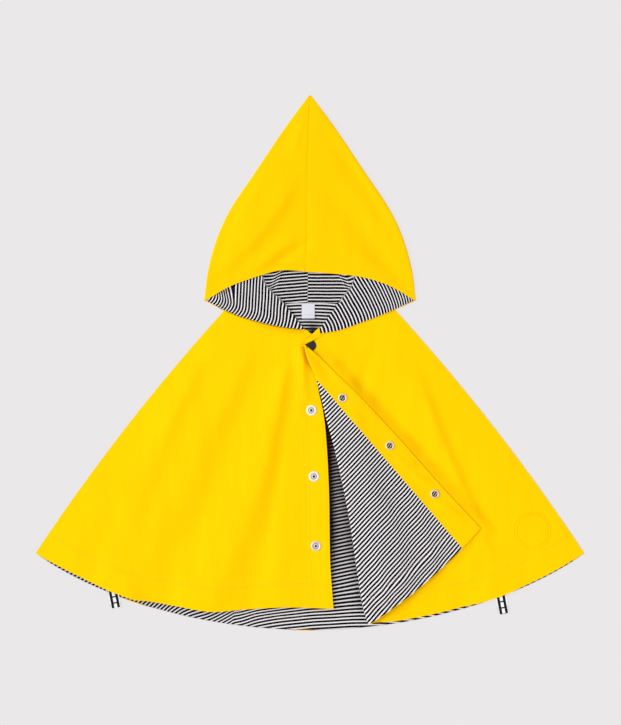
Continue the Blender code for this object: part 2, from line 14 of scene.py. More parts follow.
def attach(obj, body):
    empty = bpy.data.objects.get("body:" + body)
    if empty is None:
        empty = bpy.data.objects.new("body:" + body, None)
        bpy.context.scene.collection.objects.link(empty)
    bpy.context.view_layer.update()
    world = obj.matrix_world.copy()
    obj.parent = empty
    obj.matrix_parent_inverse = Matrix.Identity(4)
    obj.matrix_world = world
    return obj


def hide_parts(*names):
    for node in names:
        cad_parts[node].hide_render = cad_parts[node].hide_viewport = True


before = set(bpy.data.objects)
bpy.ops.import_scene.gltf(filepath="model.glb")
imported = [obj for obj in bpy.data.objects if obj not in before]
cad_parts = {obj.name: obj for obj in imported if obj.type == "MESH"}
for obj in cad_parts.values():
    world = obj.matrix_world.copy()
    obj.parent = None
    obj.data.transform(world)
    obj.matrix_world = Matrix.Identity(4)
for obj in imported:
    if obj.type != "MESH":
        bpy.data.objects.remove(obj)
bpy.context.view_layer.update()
print("frame loaded with", len(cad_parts), "nodes")

mm = 0.001
FoldRow = namedtuple("FoldRow", "x y height left right")

cloth = {"shell": 0.55, "lining": 0.5, "gap": 0.2, "rimRound": 0.4}
halfShell = cloth["shell"] / 2
# A lining's two faces, from the middle of the shell under it
liningLow = halfShell + cloth["gap"]
liningTop = liningLow + cloth["lining"]
# Height at which a piece lies on the back's lining
backTop = cloth["shell"] + cloth["lining"] + 2 * cloth["gap"]
body = {
    "halfWidth": 329.5, "cornerY": -229.4, "hemLow": -321.0, "hemRound": 0.88, "sideBulge": 9.6,
    "neckSide": (62.0, 106.0), "neckSeamY": 71.2, "seamTurn": 9.0, "seamStrip": 12.0, "hemRim": 1.2,
}


# Small tools for lines, surfaces and heights

def limited(value):
    return min(max(value, 0.0), 1.0)


def smooth(low, high, value):
    t = limited((value - low) / (high - low))
    return t * t * (3.0 - 2.0 * t)


def wander(x, y, lengthX, lengthY, seed):
    return noise.noise(Vector((x / lengthX, y / lengthY, seed)))


def mix(start, end, t):
    return start + (end - start) * t


def spaced(start, end, cells):
    return [mix(start, end, step / cells) for step in range(cells + 1)]


def summed(rows):
    # Function whose slope runs straight between the rows, each a place and the slope there
    places = [place for place, _ in rows]
    totals = [0.0]
    for (start, slope), (end, nextSlope) in zip(rows, rows[1:]):
        totals.append(totals[-1] + (end - start) * (slope + nextSlope) / 2)

    def at(value):
        index = min(max(bisect.bisect(places, value) - 1, 0), len(rows) - 2)
        (start, slope), (end, nextSlope) = rows[index], rows[index + 1]
        past = value - start
        return totals[index] + past * slope + past * past * (nextSlope - slope) / (end - start) / 2

    return at


def graph(line, axis, steps=80):
    # Reads a line's other coordinate at a value of the given one, along which it never turns back
    spots = sorted((line(t)[axis], line(t)[1 - axis]) for t in spaced(0, 1, steps))
    places = [place for place, _ in spots]

    def at(value):
        index = min(max(bisect.bisect(places, value) - 1, 0), steps - 1)
        (start, low), (end, high) = spots[index], spots[index + 1]
        return mix(low, high, limited((value - start) / (end - start)))

    return at


def bell(away, width):
    return math.exp(-((away / width) ** 2))


def curveThrough(points, mirror=1.0, steps=240):
    # Smooth line through a table's points, read by the share of its length
    knots = [Vector((x * mirror, y, 0.0)) for x, y in points]
    ends = [knots[0] * 2 - knots[1]] + knots + [knots[-1] * 2 - knots[-2]]
    fine = [knots[0]]
    for before, start, end, after in zip(ends, ends[1:], ends[2:], ends[3:]):
        handleOut = start + (end - before) / 6
        handleIn = end - (after - start) / 6
        fine.extend(interpolate_bezier(start, handleOut, handleIn, end, 24)[1:])
    reach = [0.0]
    for start, end in zip(fine, fine[1:]):
        reach.append(reach[-1] + (end - start).length)
    even = []
    index = 0
    for step in range(steps + 1):
        goal = reach[-1] * step / steps
        while index < len(fine) - 2 and reach[index + 1] < goal:
            index += 1
        share = (goal - reach[index]) / (reach[index + 1] - reach[index])
        even.append(fine[index].lerp(fine[index + 1], share))

    def at(t):
        spot = limited(t) * steps
        index = min(int(spot), steps - 1)
        return even[index].lerp(even[index + 1], spot - index)

    return at


def bowed(start, end, bulge):
    # Line that bows to its left
    start, end = Vector((*start, 0.0)), Vector((*end, 0.0))
    left = Vector((start.y - end.y, end.x - start.x, 0.0)).normalized()
    return lambda t: start.lerp(end, t) + left * bulge * 4.0 * t * (1.0 - t)


def straight(start, end):
    return lambda t: start.lerp(end, t)


def squareTo(line, t, side):
    # Level direction square to a line, towards side (1 is the line's left)
    along = line(min(t + 0.01, 1.0)) - line(max(t - 0.01, 0.0))
    return Vector((-along.y, along.x, 0.0)).normalized() * side


def patch(first, last, top, bottom):
    # Level surface between four edge lines: u runs from first to last, v from top to bottom
    corners = (top(0.0), top(1.0), bottom(0.0), bottom(1.0))

    def at(u, v):
        across = first(v).lerp(last(v), u)
        down = top(u).lerp(bottom(u), v)
        flat = corners[0].lerp(corners[1], u).lerp(corners[2].lerp(corners[3], u), v)
        return across + down - flat

    return at


def foldTracks(folds, steps=4):
    # Each fold becomes short runs with heights and widths, inside a box past which it has no effect
    tracks = []
    for rows in folds:
        rows = [FoldRow(*row) for row in rows]
        ends = [rows[0]] + rows + [rows[-1]]
        knots = []
        for before, start, end, after in zip(ends, ends[1:], ends[2:], ends[3:]):
            for step in range(steps):
                t = step / steps
                knots.append([
                    b + 0.5 * t * (c - a + t * (2 * a - 5 * b + 4 * c - d + t * (3 * (b - c) + d - a)))
                    for a, b, c, d in zip(before, start, end, after)])
        knots.append(list(rows[-1]))
        reach = 2.6 * max(max(row.left, row.right) for row in rows)
        box = (
            min(row.x for row in rows) - reach, max(row.x for row in rows) + reach,
            min(row.y for row in rows) - reach, max(row.y for row in rows) + reach)
        tracks.append((box, list(zip(knots, knots[1:]))))
    return tracks


def foldHeight(x, y, tracks):
    height = 0.0
    for (west, east, south, north), runs in tracks:
        if not (west < x < east and south < y < north):
            continue
        nearest = None
        for start, end in runs:
            dx, dy = end[0] - start[0], end[1] - start[1]
            t = limited(((x - start[0]) * dx + (y - start[1]) * dy) / (dx * dx + dy * dy))
            offX, offY = x - start[0] - dx * t, y - start[1] - dy * t
            away = offX * offX + offY * offY
            if nearest is None or away < nearest[0]:
                nearest = away, t, dx * offY - dy * offX, start, end
        away, t, side, start, end = nearest
        peak, left, right = (mix(start[k], end[k], t) for k in (2, 3, 4))
        width = left if side < 0.0 else right
        height += peak * math.exp(-away / (width * width))
    return height


def unevenness(x, y, seed):
    # Slack that no cloth laid by hand is without
    return 0.55 * wander(x, y, 58.0, 84.0, seed) + 0.12 * wander(x, y, 17.0, 26.0, seed + 5.0)


def softFloor(height):
    # Keeps a layer from sinking into the one under it
    return 0.5 * (height + math.sqrt(height * height + 0.2))


# Materials: shared effects are node groups, each used with its own values

def addNode(tree, kind, values=(), **settings):
    node = tree.nodes.new(kind)
    for key, value in settings.items():
        setattr(node, key, value)
    for socket, value in dict(values).items():
        if isinstance(value, bpy.types.NodeSocket):
            tree.links.new(value, node.inputs[socket])
        else:
            node.inputs[socket].default_value = value
    return node


def calc(tree, operation, *values, clamp=False):
    node = addNode(tree, "ShaderNodeMath", dict(enumerate(values)), operation=operation, use_clamp=clamp)
    return node.outputs[0]


def blendColours(tree, share, first, second):
    return addNode(tree, "ShaderNodeMix", {0: share, 6: first, 7: second}, data_type="RGBA").outputs[2]


def axesOf(tree, vector):
    return addNode(tree, "ShaderNodeSeparateXYZ", {"Vector": vector}).outputs


def noiseOf(tree, vector, scale, detail, others=()):
    values = {"Vector": vector, "Scale": scale, "Detail": detail, **dict(others)}
    return addNode(tree, "ShaderNodeTexNoise", values).outputs["Fac"]


def newGroup(name, inputs, outputs):
    # Every input is a number, apart from Vector
    tree = bpy.data.node_groups.new(name, "ShaderNodeTree")
    for label in inputs:
        kind = "NodeSocketVector" if label == "Vector" else "NodeSocketFloat"
        tree.interface.new_socket(label, in_out="INPUT", socket_type=kind)
    for label in outputs:
        tree.interface.new_socket(label, in_out="OUTPUT", socket_type="NodeSocketFloat")
    return tree, tree.nodes.new("NodeGroupInput").outputs, tree.nodes.new("NodeGroupOutput").inputs


def placeGroup(tree, group, values=()):
    return addNode(tree, "ShaderNodeGroup", values, node_tree=group).outputs


# Lengths inside the materials are in metres
yarn = {
    "waleWidth": 0.0009, "rowHeight": 0.0008, "stitchStep": 0.0004, "edgeSharpness": 6.0,
    "pucker": 0.0062, "threadPitch": 0.00055,
}


def makeWeaveGroup():
    # Plain weave: threads over and under each other, a few of them thicker
    tree, given, out = newGroup("plainWeave", ("Vector", "Pitch"), ("Height",))
    turns = calc(tree, "DIVIDE", math.pi, given["Pitch"])
    scaled = addNode(tree, "ShaderNodeVectorMath", {0: given["Vector"], "Scale": turns}, operation="SCALE")
    axes = axesOf(tree, scaled.outputs[0])
    crossing = calc(tree, "MULTIPLY", calc(tree, "SINE", axes["X"]), calc(tree, "SINE", axes["Y"]))
    slubs = noiseOf(tree, given["Vector"], 900.0, 2.0)
    tree.links.new(calc(tree, "MULTIPLY_ADD", crossing, 0.35, slubs), out["Height"])
    return tree


def makeCreaseGroup():
    # Small handling creases and broad mottling of a coated cloth
    tree, given, out = newGroup(
        "handlingCreases", ("Vector", "Creases", "Mottle"), ("Height", "Mottle"))
    bent = noiseOf(tree, given["Vector"], given["Creases"], 3.0, {"Roughness": 0.45, "Distortion": 0.8})
    ridge = calc(tree, "ABSOLUTE", calc(tree, "SUBTRACT", bent, 0.5))
    crease = calc(tree, "SUBTRACT", 1.0, calc(tree, "MULTIPLY", ridge, 9.0, clamp=True))
    stretched = addNode(tree, "ShaderNodeMapping", {"Vector": given["Vector"], "Scale": (3.0, 0.5, 1.0)})
    mottle = noiseOf(tree, stretched.outputs[0], given["Mottle"], 4.0, {"Roughness": 0.6})
    tree.links.new(crease, out["Height"])
    tree.links.new(mottle, out["Mottle"])
    return tree


def makeDipGroup():
    # The groove that a row of stitches draws into cloth, and its puckers
    tree, given, out = newGroup("stitchedDip", ("Distance", "Along", "At", "Width"), ("Dip",))
    off = calc(tree, "DIVIDE", calc(tree, "SUBTRACT", given["Distance"], given["At"]), given["Width"])
    groove = calc(tree, "EXPONENT", calc(tree, "MULTIPLY", calc(tree, "MULTIPLY", off, off), -1.0))
    pucker = calc(tree, "SINE", calc(tree, "MULTIPLY", given["Along"], 2.0 * math.pi / yarn["pucker"]))
    uneven = calc(tree, "MULTIPLY_ADD", pucker, 0.16, 0.84)
    tree.links.new(calc(tree, "MULTIPLY", groove, uneven), out["Dip"])
    return tree


def makeStripeGroup():
    # Jersey knitted in two yarns: stripes across the wales, their edges stepped by the stitches
    tree, given, out = newGroup(
        "stripedJersey", ("Vector", "Period", "Dark", "Stitch"), ("Stripe", "Knit"))
    axes = axesOf(tree, given["Vector"])
    wale = calc(tree, "FRACT", calc(tree, "DIVIDE", axes["X"], given["Stitch"]))
    vee = calc(tree, "ABSOLUTE", calc(tree, "SUBTRACT", wale, 0.5))
    stepped = calc(tree, "MULTIPLY_ADD", vee, yarn["stitchStep"], axes["Y"])
    turns = calc(tree, "DIVIDE", stepped, given["Period"])
    wave = calc(tree, "SINE", calc(tree, "MULTIPLY", turns, 2.0 * math.pi))
    sharp = calc(tree, "MULTIPLY_ADD", wave, yarn["edgeSharpness"], given["Dark"], clamp=True)
    row = calc(tree, "MULTIPLY_ADD", vee, 1.1, calc(tree, "DIVIDE", axes["Y"], yarn["rowHeight"]))
    loop = calc(tree, "SINE", calc(tree, "MULTIPLY", row, 2.0 * math.pi))
    groove = calc(tree, "SINE", calc(tree, "MULTIPLY", wale, math.pi))
    tree.links.new(sharp, out["Stripe"])
    tree.links.new(calc(tree, "MULTIPLY_ADD", loop, 0.3, groove), out["Knit"])
    return tree


weaveGroup = makeWeaveGroup()
creaseGroup = makeCreaseGroup()
dipGroup = makeDipGroup()
stripeGroup = makeStripeGroup()


def newMaterial(name, roughness, metallic, specular):
    material = bpy.data.materials.new(name)
    material.use_nodes = True
    shader = material.node_tree.nodes["Principled BSDF"]
    values = {"Roughness": roughness, "Metallic": metallic, "Specular IOR Level": specular}
    for socket, value in values.items():
        shader.inputs[socket].default_value = value
    return material, material.node_tree, shader


def uvMap(tree, name):
    return addNode(tree, "ShaderNodeUVMap", uv_map=name).outputs["UV"]


def finishLook(tree, shader, colour, height, depth):
    bump = addNode(tree, "ShaderNodeBump", {"Height": height, "Distance": depth, "Strength": 1.0})
    tree.links.new(colour, shader.inputs["Base Color"])
    tree.links.new(bump.outputs["Normal"], shader.inputs["Normal"])


def shadeOver(tree, colour, shade):
    # Folds and gaps too narrow for light to reach, from the piece's own map
    return blendColours(tree, axesOf(tree, uvMap(tree, "shade"))["X"], colour, shade)


def weaveOf(tree, surface, pitch):
    return placeGroup(tree, weaveGroup, {"Vector": surface, "Pitch": pitch})["Height"]


def dipOf(tree, distance, along, at, width):
    values = {"Distance": distance, "Along": along, "At": at, "Width": width}
    return placeGroup(tree, dipGroup, values)["Dip"]


def darkened(colour, share):
    return tuple(part * share for part in colour[:3]) + (1.0,)


# dip and dipShadeShare paint shade into the stitch grooves; shade is the colour of the painted shade from a
# piece's own map
shellFinish = {
    "bright": (1.0, 0.615, 0.0, 1.0), "deep": (1.0, 0.575, 0.0, 1.0), "dip": (1.0, 0.50, 0.0, 1.0),
    "shade": (0.60, 0.19, 0.0, 1.0), "dipShadeShare": 0.04, "dipDepth": 0.28, "dipWidth": 0.0011,
    "ridgeWidth": 0.0022, "ridgeHeight": 3.0, "weaveHeight": 0.10, "creaseHeight": 0.16,
    "roughness": 0.62, "specular": 0.02, "depth": 0.00022,
}


def makeShellLook(name, hemLines=(), openingLines=(), shaded=False, ridge=False, shadeTone=1.0):
    # Yellow coated cotton; the lines are distances of stitch rows from the hem and the opening edge
    # shadeTone lowers the yellow's green: painted shade, for a darker copy of the same cloth
    deep, bright = (
        (red, green * shadeTone, blue, 1.0)
        for red, green, blue, _ in (shellFinish["deep"], shellFinish["bright"]))
    material, tree, shader = newMaterial(name, shellFinish["roughness"], 0.0, shellFinish["specular"])
    surface = uvMap(tree, "cloth")
    edges = axesOf(tree, uvMap(tree, "edges"))
    worn = placeGroup(tree, creaseGroup, {"Vector": surface, "Creases": 16.0, "Mottle": 20.0})
    creases = calc(tree, "MULTIPLY", worn["Height"], shellFinish["creaseHeight"])
    weave = weaveOf(tree, surface, yarn["threadPitch"])
    height = calc(tree, "MULTIPLY_ADD", weave, shellFinish["weaveHeight"], creases)
    dips = None
    for far, along, lines in ((0, 1, hemLines), (1, 0, openingLines)):
        for at in lines:
            dip = dipOf(tree, edges[far], edges[along], at * mm, shellFinish["dipWidth"])
            dips = dip if dips is None else calc(tree, "MAXIMUM", dips, dip)
    mottle = calc(tree, "MULTIPLY_ADD", worn["Mottle"], 2.4, -0.75, clamp=True)
    colour = blendColours(tree, mottle, deep, bright)
    if dips is not None:
        height = calc(tree, "MULTIPLY_ADD", dips, -shellFinish["dipDepth"], height)
        # Painted shade: the stitch grooves are also tinted a deeper orange
        shadedDips = calc(tree, "MULTIPLY", dips, shellFinish["dipShadeShare"])
        colour = blendColours(tree, shadedDips, colour, shellFinish["dip"])
    if ridge:
        raised = dipOf(tree, edges[1], edges[0], 0.0, shellFinish["ridgeWidth"])
        height = calc(tree, "MULTIPLY_ADD", raised, shellFinish["ridgeHeight"], height)
    if shaded:
        colour = shadeOver(tree, colour, shellFinish["shade"])
    finishLook(tree, shader, colour, height, shellFinish["depth"])
    return material


liningFinish = {
    "white": (0.93, 0.905, 0.92, 1.0), "navy": (0.003, 0.0015, 0.004, 1.0), "period": 4.2,
    "shade": (0.012, 0.005, 0.004, 1.0), "roughness": 0.9, "specular": 0.03, "depth": 0.0002,
    "fuzz": 0.16, "dipWidth": 0.001, "dipDepth": 2.0,
}


def makeLiningLook(name, dark, hemLines=(), shaded=False):
    # Striped jersey; the lower the dark value, the wider its navy stripes
    material, tree, shader = newMaterial(name, liningFinish["roughness"], 0.0, liningFinish["specular"])
    surface = uvMap(tree, "cloth")
    knit = placeGroup(tree, stripeGroup, {
        "Vector": surface, "Period": liningFinish["period"] * mm, "Dark": dark,
        "Stitch": yarn["waleWidth"]})
    fuzz = calc(tree, "SUBTRACT", noiseOf(tree, surface, 300.0, 3.0), 0.5)
    softened = calc(tree, "MULTIPLY_ADD", fuzz, liningFinish["fuzz"], knit["Stripe"], clamp=True)
    colour = blendColours(tree, softened, liningFinish["navy"], liningFinish["white"])
    height = knit["Knit"]
    edges = axesOf(tree, uvMap(tree, "edges"))
    for at in hemLines:
        dip = dipOf(tree, edges[0], edges[1], at * mm, liningFinish["dipWidth"])
        height = calc(tree, "MULTIPLY_ADD", dip, -liningFinish["dipDepth"], height)
    if shaded:
        colour = shadeOver(tree, colour, liningFinish["shade"])
    finishLook(tree, shader, colour, height, liningFinish["depth"])
    return material


def makeThreadLook(name, colour):
    material, tree, shader = newMaterial(name, 0.55, 0.0, 0.3)
    ply = noiseOf(tree, addNode(tree, "ShaderNodeTexCoord").outputs["Object"], 1500.0, 1.0)
    twisted = blendColours(tree, ply, darkened(colour, 0.8), colour)
    tree.links.new(twisted, shader.inputs["Base Color"])
    return material


# Meshes

def addObject(name, data):
    added = bpy.data.objects.new(name, data)
    bpy.context.scene.collection.objects.link(added)
    return added


def addMesh(name, bm, materials):
    bmesh.ops.scale(bm, vec=(mm, mm, mm), verts=bm.verts)
    mesh = bpy.data.meshes.new(name)
    bm.to_mesh(mesh)
    bm.free()
    for material in materials:
        mesh.materials.append(material)
    return addObject(name, mesh)


def finishMesh(name, bm, materials, smoothAngle, node=None):
    piece = addMesh(name, bm, materials)
    piece.data.shade_smooth()
    if smoothAngle:
        piece.data.set_sharp_from_angle(angle=math.radians(smoothAngle))
    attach(piece, "root")
    if node:
        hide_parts(node)
    return piece


def camelCase(node):
    first, *others = node.split("_")
    return first + "".join(word.capitalize() for word in others)


def makeCloth(node, place, columns, rows, lifts, material, flat, edges, keep=None, shade=None):
    # A grid laid out by place(column, row, lift), extruded to its other face, its rim rounded.
    # It is named after the node that it replaces.
    bm = bmesh.new()
    across, down = len(columns) - 1, len(rows) - 1
    bmesh.ops.create_grid(bm, x_segments=across, y_segments=down, size=0.5)
    columnOf = bm.verts.layers.int.new("column")
    rowOf = bm.verts.layers.int.new("row")
    sideOf = bm.verts.layers.int.new("side")
    for vert in bm.verts:
        vert[columnOf] = round((vert.co.x + 0.5) * across)
        vert[rowOf] = round((vert.co.y + 0.5) * down)
    if keep:
        dropped = [
            face for face in bm.faces
            if not keep(min(v[columnOf] for v in face.verts), min(v[rowOf] for v in face.verts))]
        bmesh.ops.delete(bm, geom=dropped, context="FACES")
    firstSide = list(bm.verts)
    grown = bmesh.ops.extrude_face_region(bm, geom=bm.faces[:])
    secondSide = [item for item in grown["geom"] if isinstance(item, bmesh.types.BMVert)]
    for vert in secondSide:
        vert[sideOf] = 1
    for side, lift in ((firstSide, lifts[0]), (secondSide, lifts[1])):
        for vert in side:
            vert.co = place(columns[vert[columnOf]], rows[vert[rowOf]], lift)
    maps = [bm.loops.layers.uv.new(word) for word in ("cloth", "edges", "shade")[:3 if shade else 2]]
    cache = {}
    for vert in bm.verts:
        key = vert[columnOf], vert[rowOf]
        if key not in cache:
            c, r = columns[key[0]], rows[key[1]]
            cache[key] = [
                [part * mm for part in flat(c, r)], [part * mm for part in edges(c, r)],
                (shade(c, r) if shade else 0.0, 0.0)]
        for loop in vert.link_loops:
            for layer, spot in zip(maps, cache[key]):
                loop[layer].uv = spot
    rim = [
        edge for edge in bm.edges
        if edge.verts[0][sideOf] == edge.verts[1][sideOf]
        and any(len({vert[sideOf] for vert in face.verts}) == 2 for face in edge.link_faces)]
    bmesh.ops.bevel(
        bm, geom=rim, offset=cloth["rimRound"] * abs(lifts[1] - lifts[0]), offset_type="OFFSET", segments=2,
        profile=0.5, affect="EDGES", material=-1)
    for vert in bm.verts:
        # The bevel can overshoot where cells are tiny, and nothing reaches below the surface
        vert.co.z = max(vert.co.z, 0.0)
    bmesh.ops.recalc_face_normals(bm, faces=bm.faces)
    return finishMesh(camelCase(node), bm, [material], 60.0, node)


def hemY(x):
    t = abs(x) / body["halfWidth"]
    rise = body["hemRound"] * t ** 2 + (1.0 - body["hemRound"]) * t ** 6
    return body["hemLow"] + (body["cornerY"] - body["hemLow"]) * rise


def hemLine(halfWidth, rise):
    def at(t):
        x = mix(-halfWidth, halfWidth, t)
        return Vector((x, hemY(x) + rise, 0.0))

    return at


def hemEdges(plan):
    # Distance up from the hem and place along it
    def at(u, v):
        spot = plan(u, v)
        return spot.y - hemY(spot.x), spot.x

    return at


def sideLine(mirror):
    start = (body["neckSide"][0] * mirror, body["neckSide"][1])
    return bowed(start, (body["halfWidth"] * mirror, body["cornerY"]), body["sideBulge"] * mirror)


def sideDepth(x, y):
    # How far a point lies inside the side seams, negative outside them
    start = Vector(body["neckSide"])
    along = Vector((body["halfWidth"], body["cornerY"])) - start
    offset = Vector((abs(x), y)) - start
    t = limited(offset.dot(along) / along.length_squared)
    outwards = Vector((-along.y, along.x)).normalized()
    return body["sideBulge"] * 4.0 * t * (1.0 - t) - offset.dot(outwards)


loops = {
    "rows": (("tape_loop_left", -236.0, 16.2, 10.0, 0.0), ("tape_loop_right", 229.0, 21.0, 11.0, 4.3)),
    "width": 12.0, "root": 8.0, "drop": 9.0, "wall": 0.6, "bendRadius": 0.45, "lifts": 1.7,
}


def tapeLift(x, y):
    lift = 0.0
    for _, loopX, _, _, _ in loops["rows"]:
        away = math.hypot(x - loopX, y - hemY(loopX))
        lift += loops["lifts"] * smooth(3.5 * loops["width"], 1.5 * loops["width"], away)
    return lift


@functools.lru_cache(maxsize=None)
def frontFloor(x, y):
    # Underside of a front laid flat: on the back lining, turned down at the side seam
    liningRoom = (cloth["lining"] + cloth["gap"]) * smooth(0.0, body["seamTurn"], sideDepth(x, y))
    return cloth["shell"] + cloth["gap"] + liningRoom + tapeLift(x, y)


def fromSide(c, width):
    # Share of the way across a front: columns 0 to 1 span the turned-down side seam
    strip = min(body["seamStrip"] / width, 0.3)
    return c * strip if c < 1.0 else mix(strip, 1.0, c - 1.0)


# Back of the cape and its lining

back = {
    "neck": (
        (-62.0, 106.0), (-49.0, 86.0), (-42.5, 75.4), (-37.0, 70.6), (-28.0, 71.0), (0.0, 71.0),
        (28.0, 71.0), (37.0, 70.6), (42.5, 75.4), (49.0, 86.0), (62.0, 106.0)),
    "cells": (120, 64), "liningCells": (150, 100), "liningInset": 14.0, "liningNeckShare": 0.97,
    "liningNeckDrop": 12.0, "hemLine": 15.0, "neckV": (3.6, 38.0),
}
# How fast the stripes pass along the hem, and up from it; a join turns them at x = -90
hemStripes = summed((
    (-330, -0.92), (-250, -0.92), (-220, -0.87), (-192, -1.01), (-174, -1.05), (-156, -0.86), (-132, -0.5),
    (-108, -0.74), (-91, -0.84), (-90, -0.2), (-84, -0.42), (-72, -0.5), (-60, -0.3), (-24, -0.16),
    (12, -0.04), (48, 0.02), (70, 0.12), (108, 0.25), (150, 0.35), (190, 0.42), (260, 0.6), (330, 0.7)))
hemRows = summed((
    (-10, 1.06), (22, 1.06), (32, 0.99), (50, 0.97), (80, 0.93), (120, 0.95), (150, 1.02), (900, 1.02)))


def panelHem(t):
    # The outer cloth shows below its lining in two places
    spot = hemLine(body["halfWidth"], 0.4)(t)
    spot.y -= 1.5 * bell(spot.x + 211.0, 20.0) + 1.4 * bell(spot.x + 8.0, 18.0)
    return spot


def makeBack(shellLook, liningLook):
    plan = patch(sideLine(-1), sideLine(1), curveThrough(back["neck"]), panelHem)

    panel = makeCloth(
        "back_panel", lambda u, v, lift: plan(u, v) + Vector((0.0, 0.0, lift)),
        spaced(0, 1, back["cells"][0]), spaced(0, 1, back["cells"][1]), (0.0, cloth["shell"]),
        shellLook, lambda u, v: plan(u, v).xy, hemEdges(plan))

    def liningNeck(x, y):
        return x * back["liningNeckShare"], y + (0.3 if abs(x) < 40.0 else -back["liningNeckDrop"])

    top = curveThrough([liningNeck(x, y) for x, y in back["neck"]])
    hem = hemLine(body["halfWidth"] - back["liningInset"], -0.2)
    left = bowed(top(0.0).xy, hem(0.0).xy, -body["sideBulge"])
    right = bowed(top(1.0).xy, hem(1.0).xy, body["sideBulge"])
    liningPlan = patch(left, right, top, hem)

    def placeLining(u, v, lift):
        spot = liningPlan(u, v)
        spot.z = cloth["shell"] + cloth["gap"] + lift
        return spot

    def flatLining(u, v):
        x, y, _ = liningPlan(u, v)
        if y > 0.0:
            stripe = hood["finer"] * (y - 68.4 + 0.0012 * x * x) + 0.75 * liningFinish["period"]
        else:
            up = y - hemY(x)
            stripe = hemStripes(x) + hemRows(up) * mix(0.75, 1.0, smooth(-200.0, -120.0, x))
            stripe -= 0.15 * smooth(10.0, 60.0, up) * (x - 20.0)
        return x, stripe + 0.5 * wander(x, y, 30.0, 24.0, 3.0)

    leftEdge = graph(curveThrough(leftFront["edge"]), 1)

    def shadeLining(u, v):
        # Dark where the gap between the fronts is narrow, beside the fold, and in the neck's point
        x, y, _ = liningPlan(u, v)
        if y > 0.0:
            away = math.hypot(x - back["neckV"][0], y - back["neckV"][1])
            return min(0.12 + 0.86 * bell(away, 9.0), 0.97)
        share = mix(0.05, 0.2, smooth(-306.0, -288.0, y)) + 0.25 * smooth(-285.0, -190.0, y)
        nearFold = 0.2 * bell(foldSide(y) - x, 7.0) * smooth(-306.0, -290.0, y)
        nearLeft = 0.65 * bell(x - leftEdge(y), 7.0) * smooth(-280.0, -205.0, y)
        return min(share + nearFold + nearLeft, 0.97)

    lining = makeCloth(
        "back_lining", placeLining, spaced(0, 1, back["liningCells"][0]),
        spaced(0, 1, back["liningCells"][1]), (0.0, cloth["lining"]), liningLook,
        flatLining, hemEdges(liningPlan), shade=shadeLining)
    return panel, lining


# Left front

leftFront = {
    "neck": ((-62.0, 106.0), (-52.0, 90.0), (-39.0, 72.0), (-8.0, 41.0), (3.6, 33.2), (9.6, 28.0)),
    "edge": (
        (9.6, 28.0), (8.4, -21.2), (16.2, -63.2), (19.9, -101.6), (22.7, -160.4), (24.0, -240.0),
        (28.0, -295.6)),
    "hem": (
        (-329.5, -229.4), (-292.8, -249.1), (-244.8, -272.0), (-228.6, -278.4), (-210.2, -284.8),
        (-193.7, -286.6), (-162.0, -292.2), (-118.8, -299.0), (-76.8, -296.4), (-28.8, -294.0),
        (28.0, -295.6)),
    "cells": (96, 112), "slack": 1.7, "snapRadius": 6.5,
    "snaps": (("snap_stud_1", 1.6, -57.6), ("snap_stud_2", 4.7, -136.9), ("snap_stud_3", 7.1, -220.3)),
    "hemLines": (26.5, 29.0), "openingLines": (2.2, 22.6, 28.0),
}
leftFolds = foldTracks((
    # beside the placket: crest, then its trough
    ((-24, 8, 0, 8, 6), (-33, -26, 2.6, 12, 7), (-43, -70, 3.2, 20, 9), (-54, -117, 3.4, 26, 12),
     (-67, -160, 3.7, 30, 14), (-84, -207, 4.0, 34, 18), (-112, -265, 3.9, 36, 22),
     (-124, -305, 3.4, 36, 24)),
    ((-16, -20, 0, 4, 4), (-32, -100, -0.9, 8, 6), (-42, -150, -0.9, 9, 7), (-56, -219, -0.9, 11, 9),
     (-70, -298, -0.7, 12, 10)),
    ((-14, -120, 0, 12, 10), (-26, -200, 0.7, 18, 12), (-34, -290, 0.8, 22, 14)),
    # across the middle
    ((-72, 30, 0, 10, 8), (-82, -5, 1.7, 16, 12), (-100, -45, 2.3, 22, 16), (-130, -92, 2.7, 28, 20),
     (-150, -150, 2.8, 32, 26), (-186, -205, 2.8, 34, 28), (-212, -255, 2.6, 36, 30),
     (-222, -285, 2.2, 36, 30)),
    ((-66, 10, 0, 6, 6), (-80, -50, -0.6, 10, 9), (-104, -105, -0.8, 12, 11),
     (-122, -160, -0.9, 14, 13), (-160, -230, -0.9, 16, 14), (-184, -292, -0.7, 16, 14)),
    # faint one nearer the side
    ((-104, 36, 0, 8, 8), (-124, 10, 1.2, 12, 8), (-146, -21, 1.9, 18, 10), (-188, -123, 2.2, 22, 12),
     (-218, -195, 1.7, 24, 14), (-236, -240, 0.8, 26, 16)),
    # ridge beside the turned-back front at the neck
    ((-9, 26, 0, 6, 4), (-9, 10, 2.6, 8, 4), (-8, -8, 3.0, 9, 4.5), (-7, -30, 2.0, 9, 6),
     (-6, -60, 0.8, 10, 8), (-5, -90, 0, 10, 8)),
    # the placket's edge stands a little off the lining
    ((10, -44, 0, 8, 10), (16, -90, 1.6, 18, 14), (22, -180, 2.2, 22, 16), (26, -296, 1.8, 24, 16)),
))


@functools.lru_cache(maxsize=None)
def leftSlack(x, y):
    clear = smooth(38.0, 8.0, y) * smooth(0.0, 40.0, sideDepth(x, y))
    return clear * softFloor(leftFront["slack"] + foldHeight(x, y, leftFolds) + unevenness(x, y, 1.0))


@functools.lru_cache(maxsize=None)
def leftHeight(x, y):
    # Underside of the left front, level where a snap is set
    slack = leftSlack(x, y)
    for _, snapX, snapY in leftFront["snaps"]:
        away = math.hypot(x - snapX, y - snapY)
        if away < 2.0 * leftFront["snapRadius"]:
            near = smooth(2.0 * leftFront["snapRadius"], leftFront["snapRadius"], away)
            slack = mix(slack, leftSlack(snapX, snapY) - 0.2, near)
    return frontFloor(x, y) + slack


leftPlan = patch(
    sideLine(-1), curveThrough(leftFront["edge"]), curveThrough(leftFront["neck"]),
    curveThrough(leftFront["hem"]))


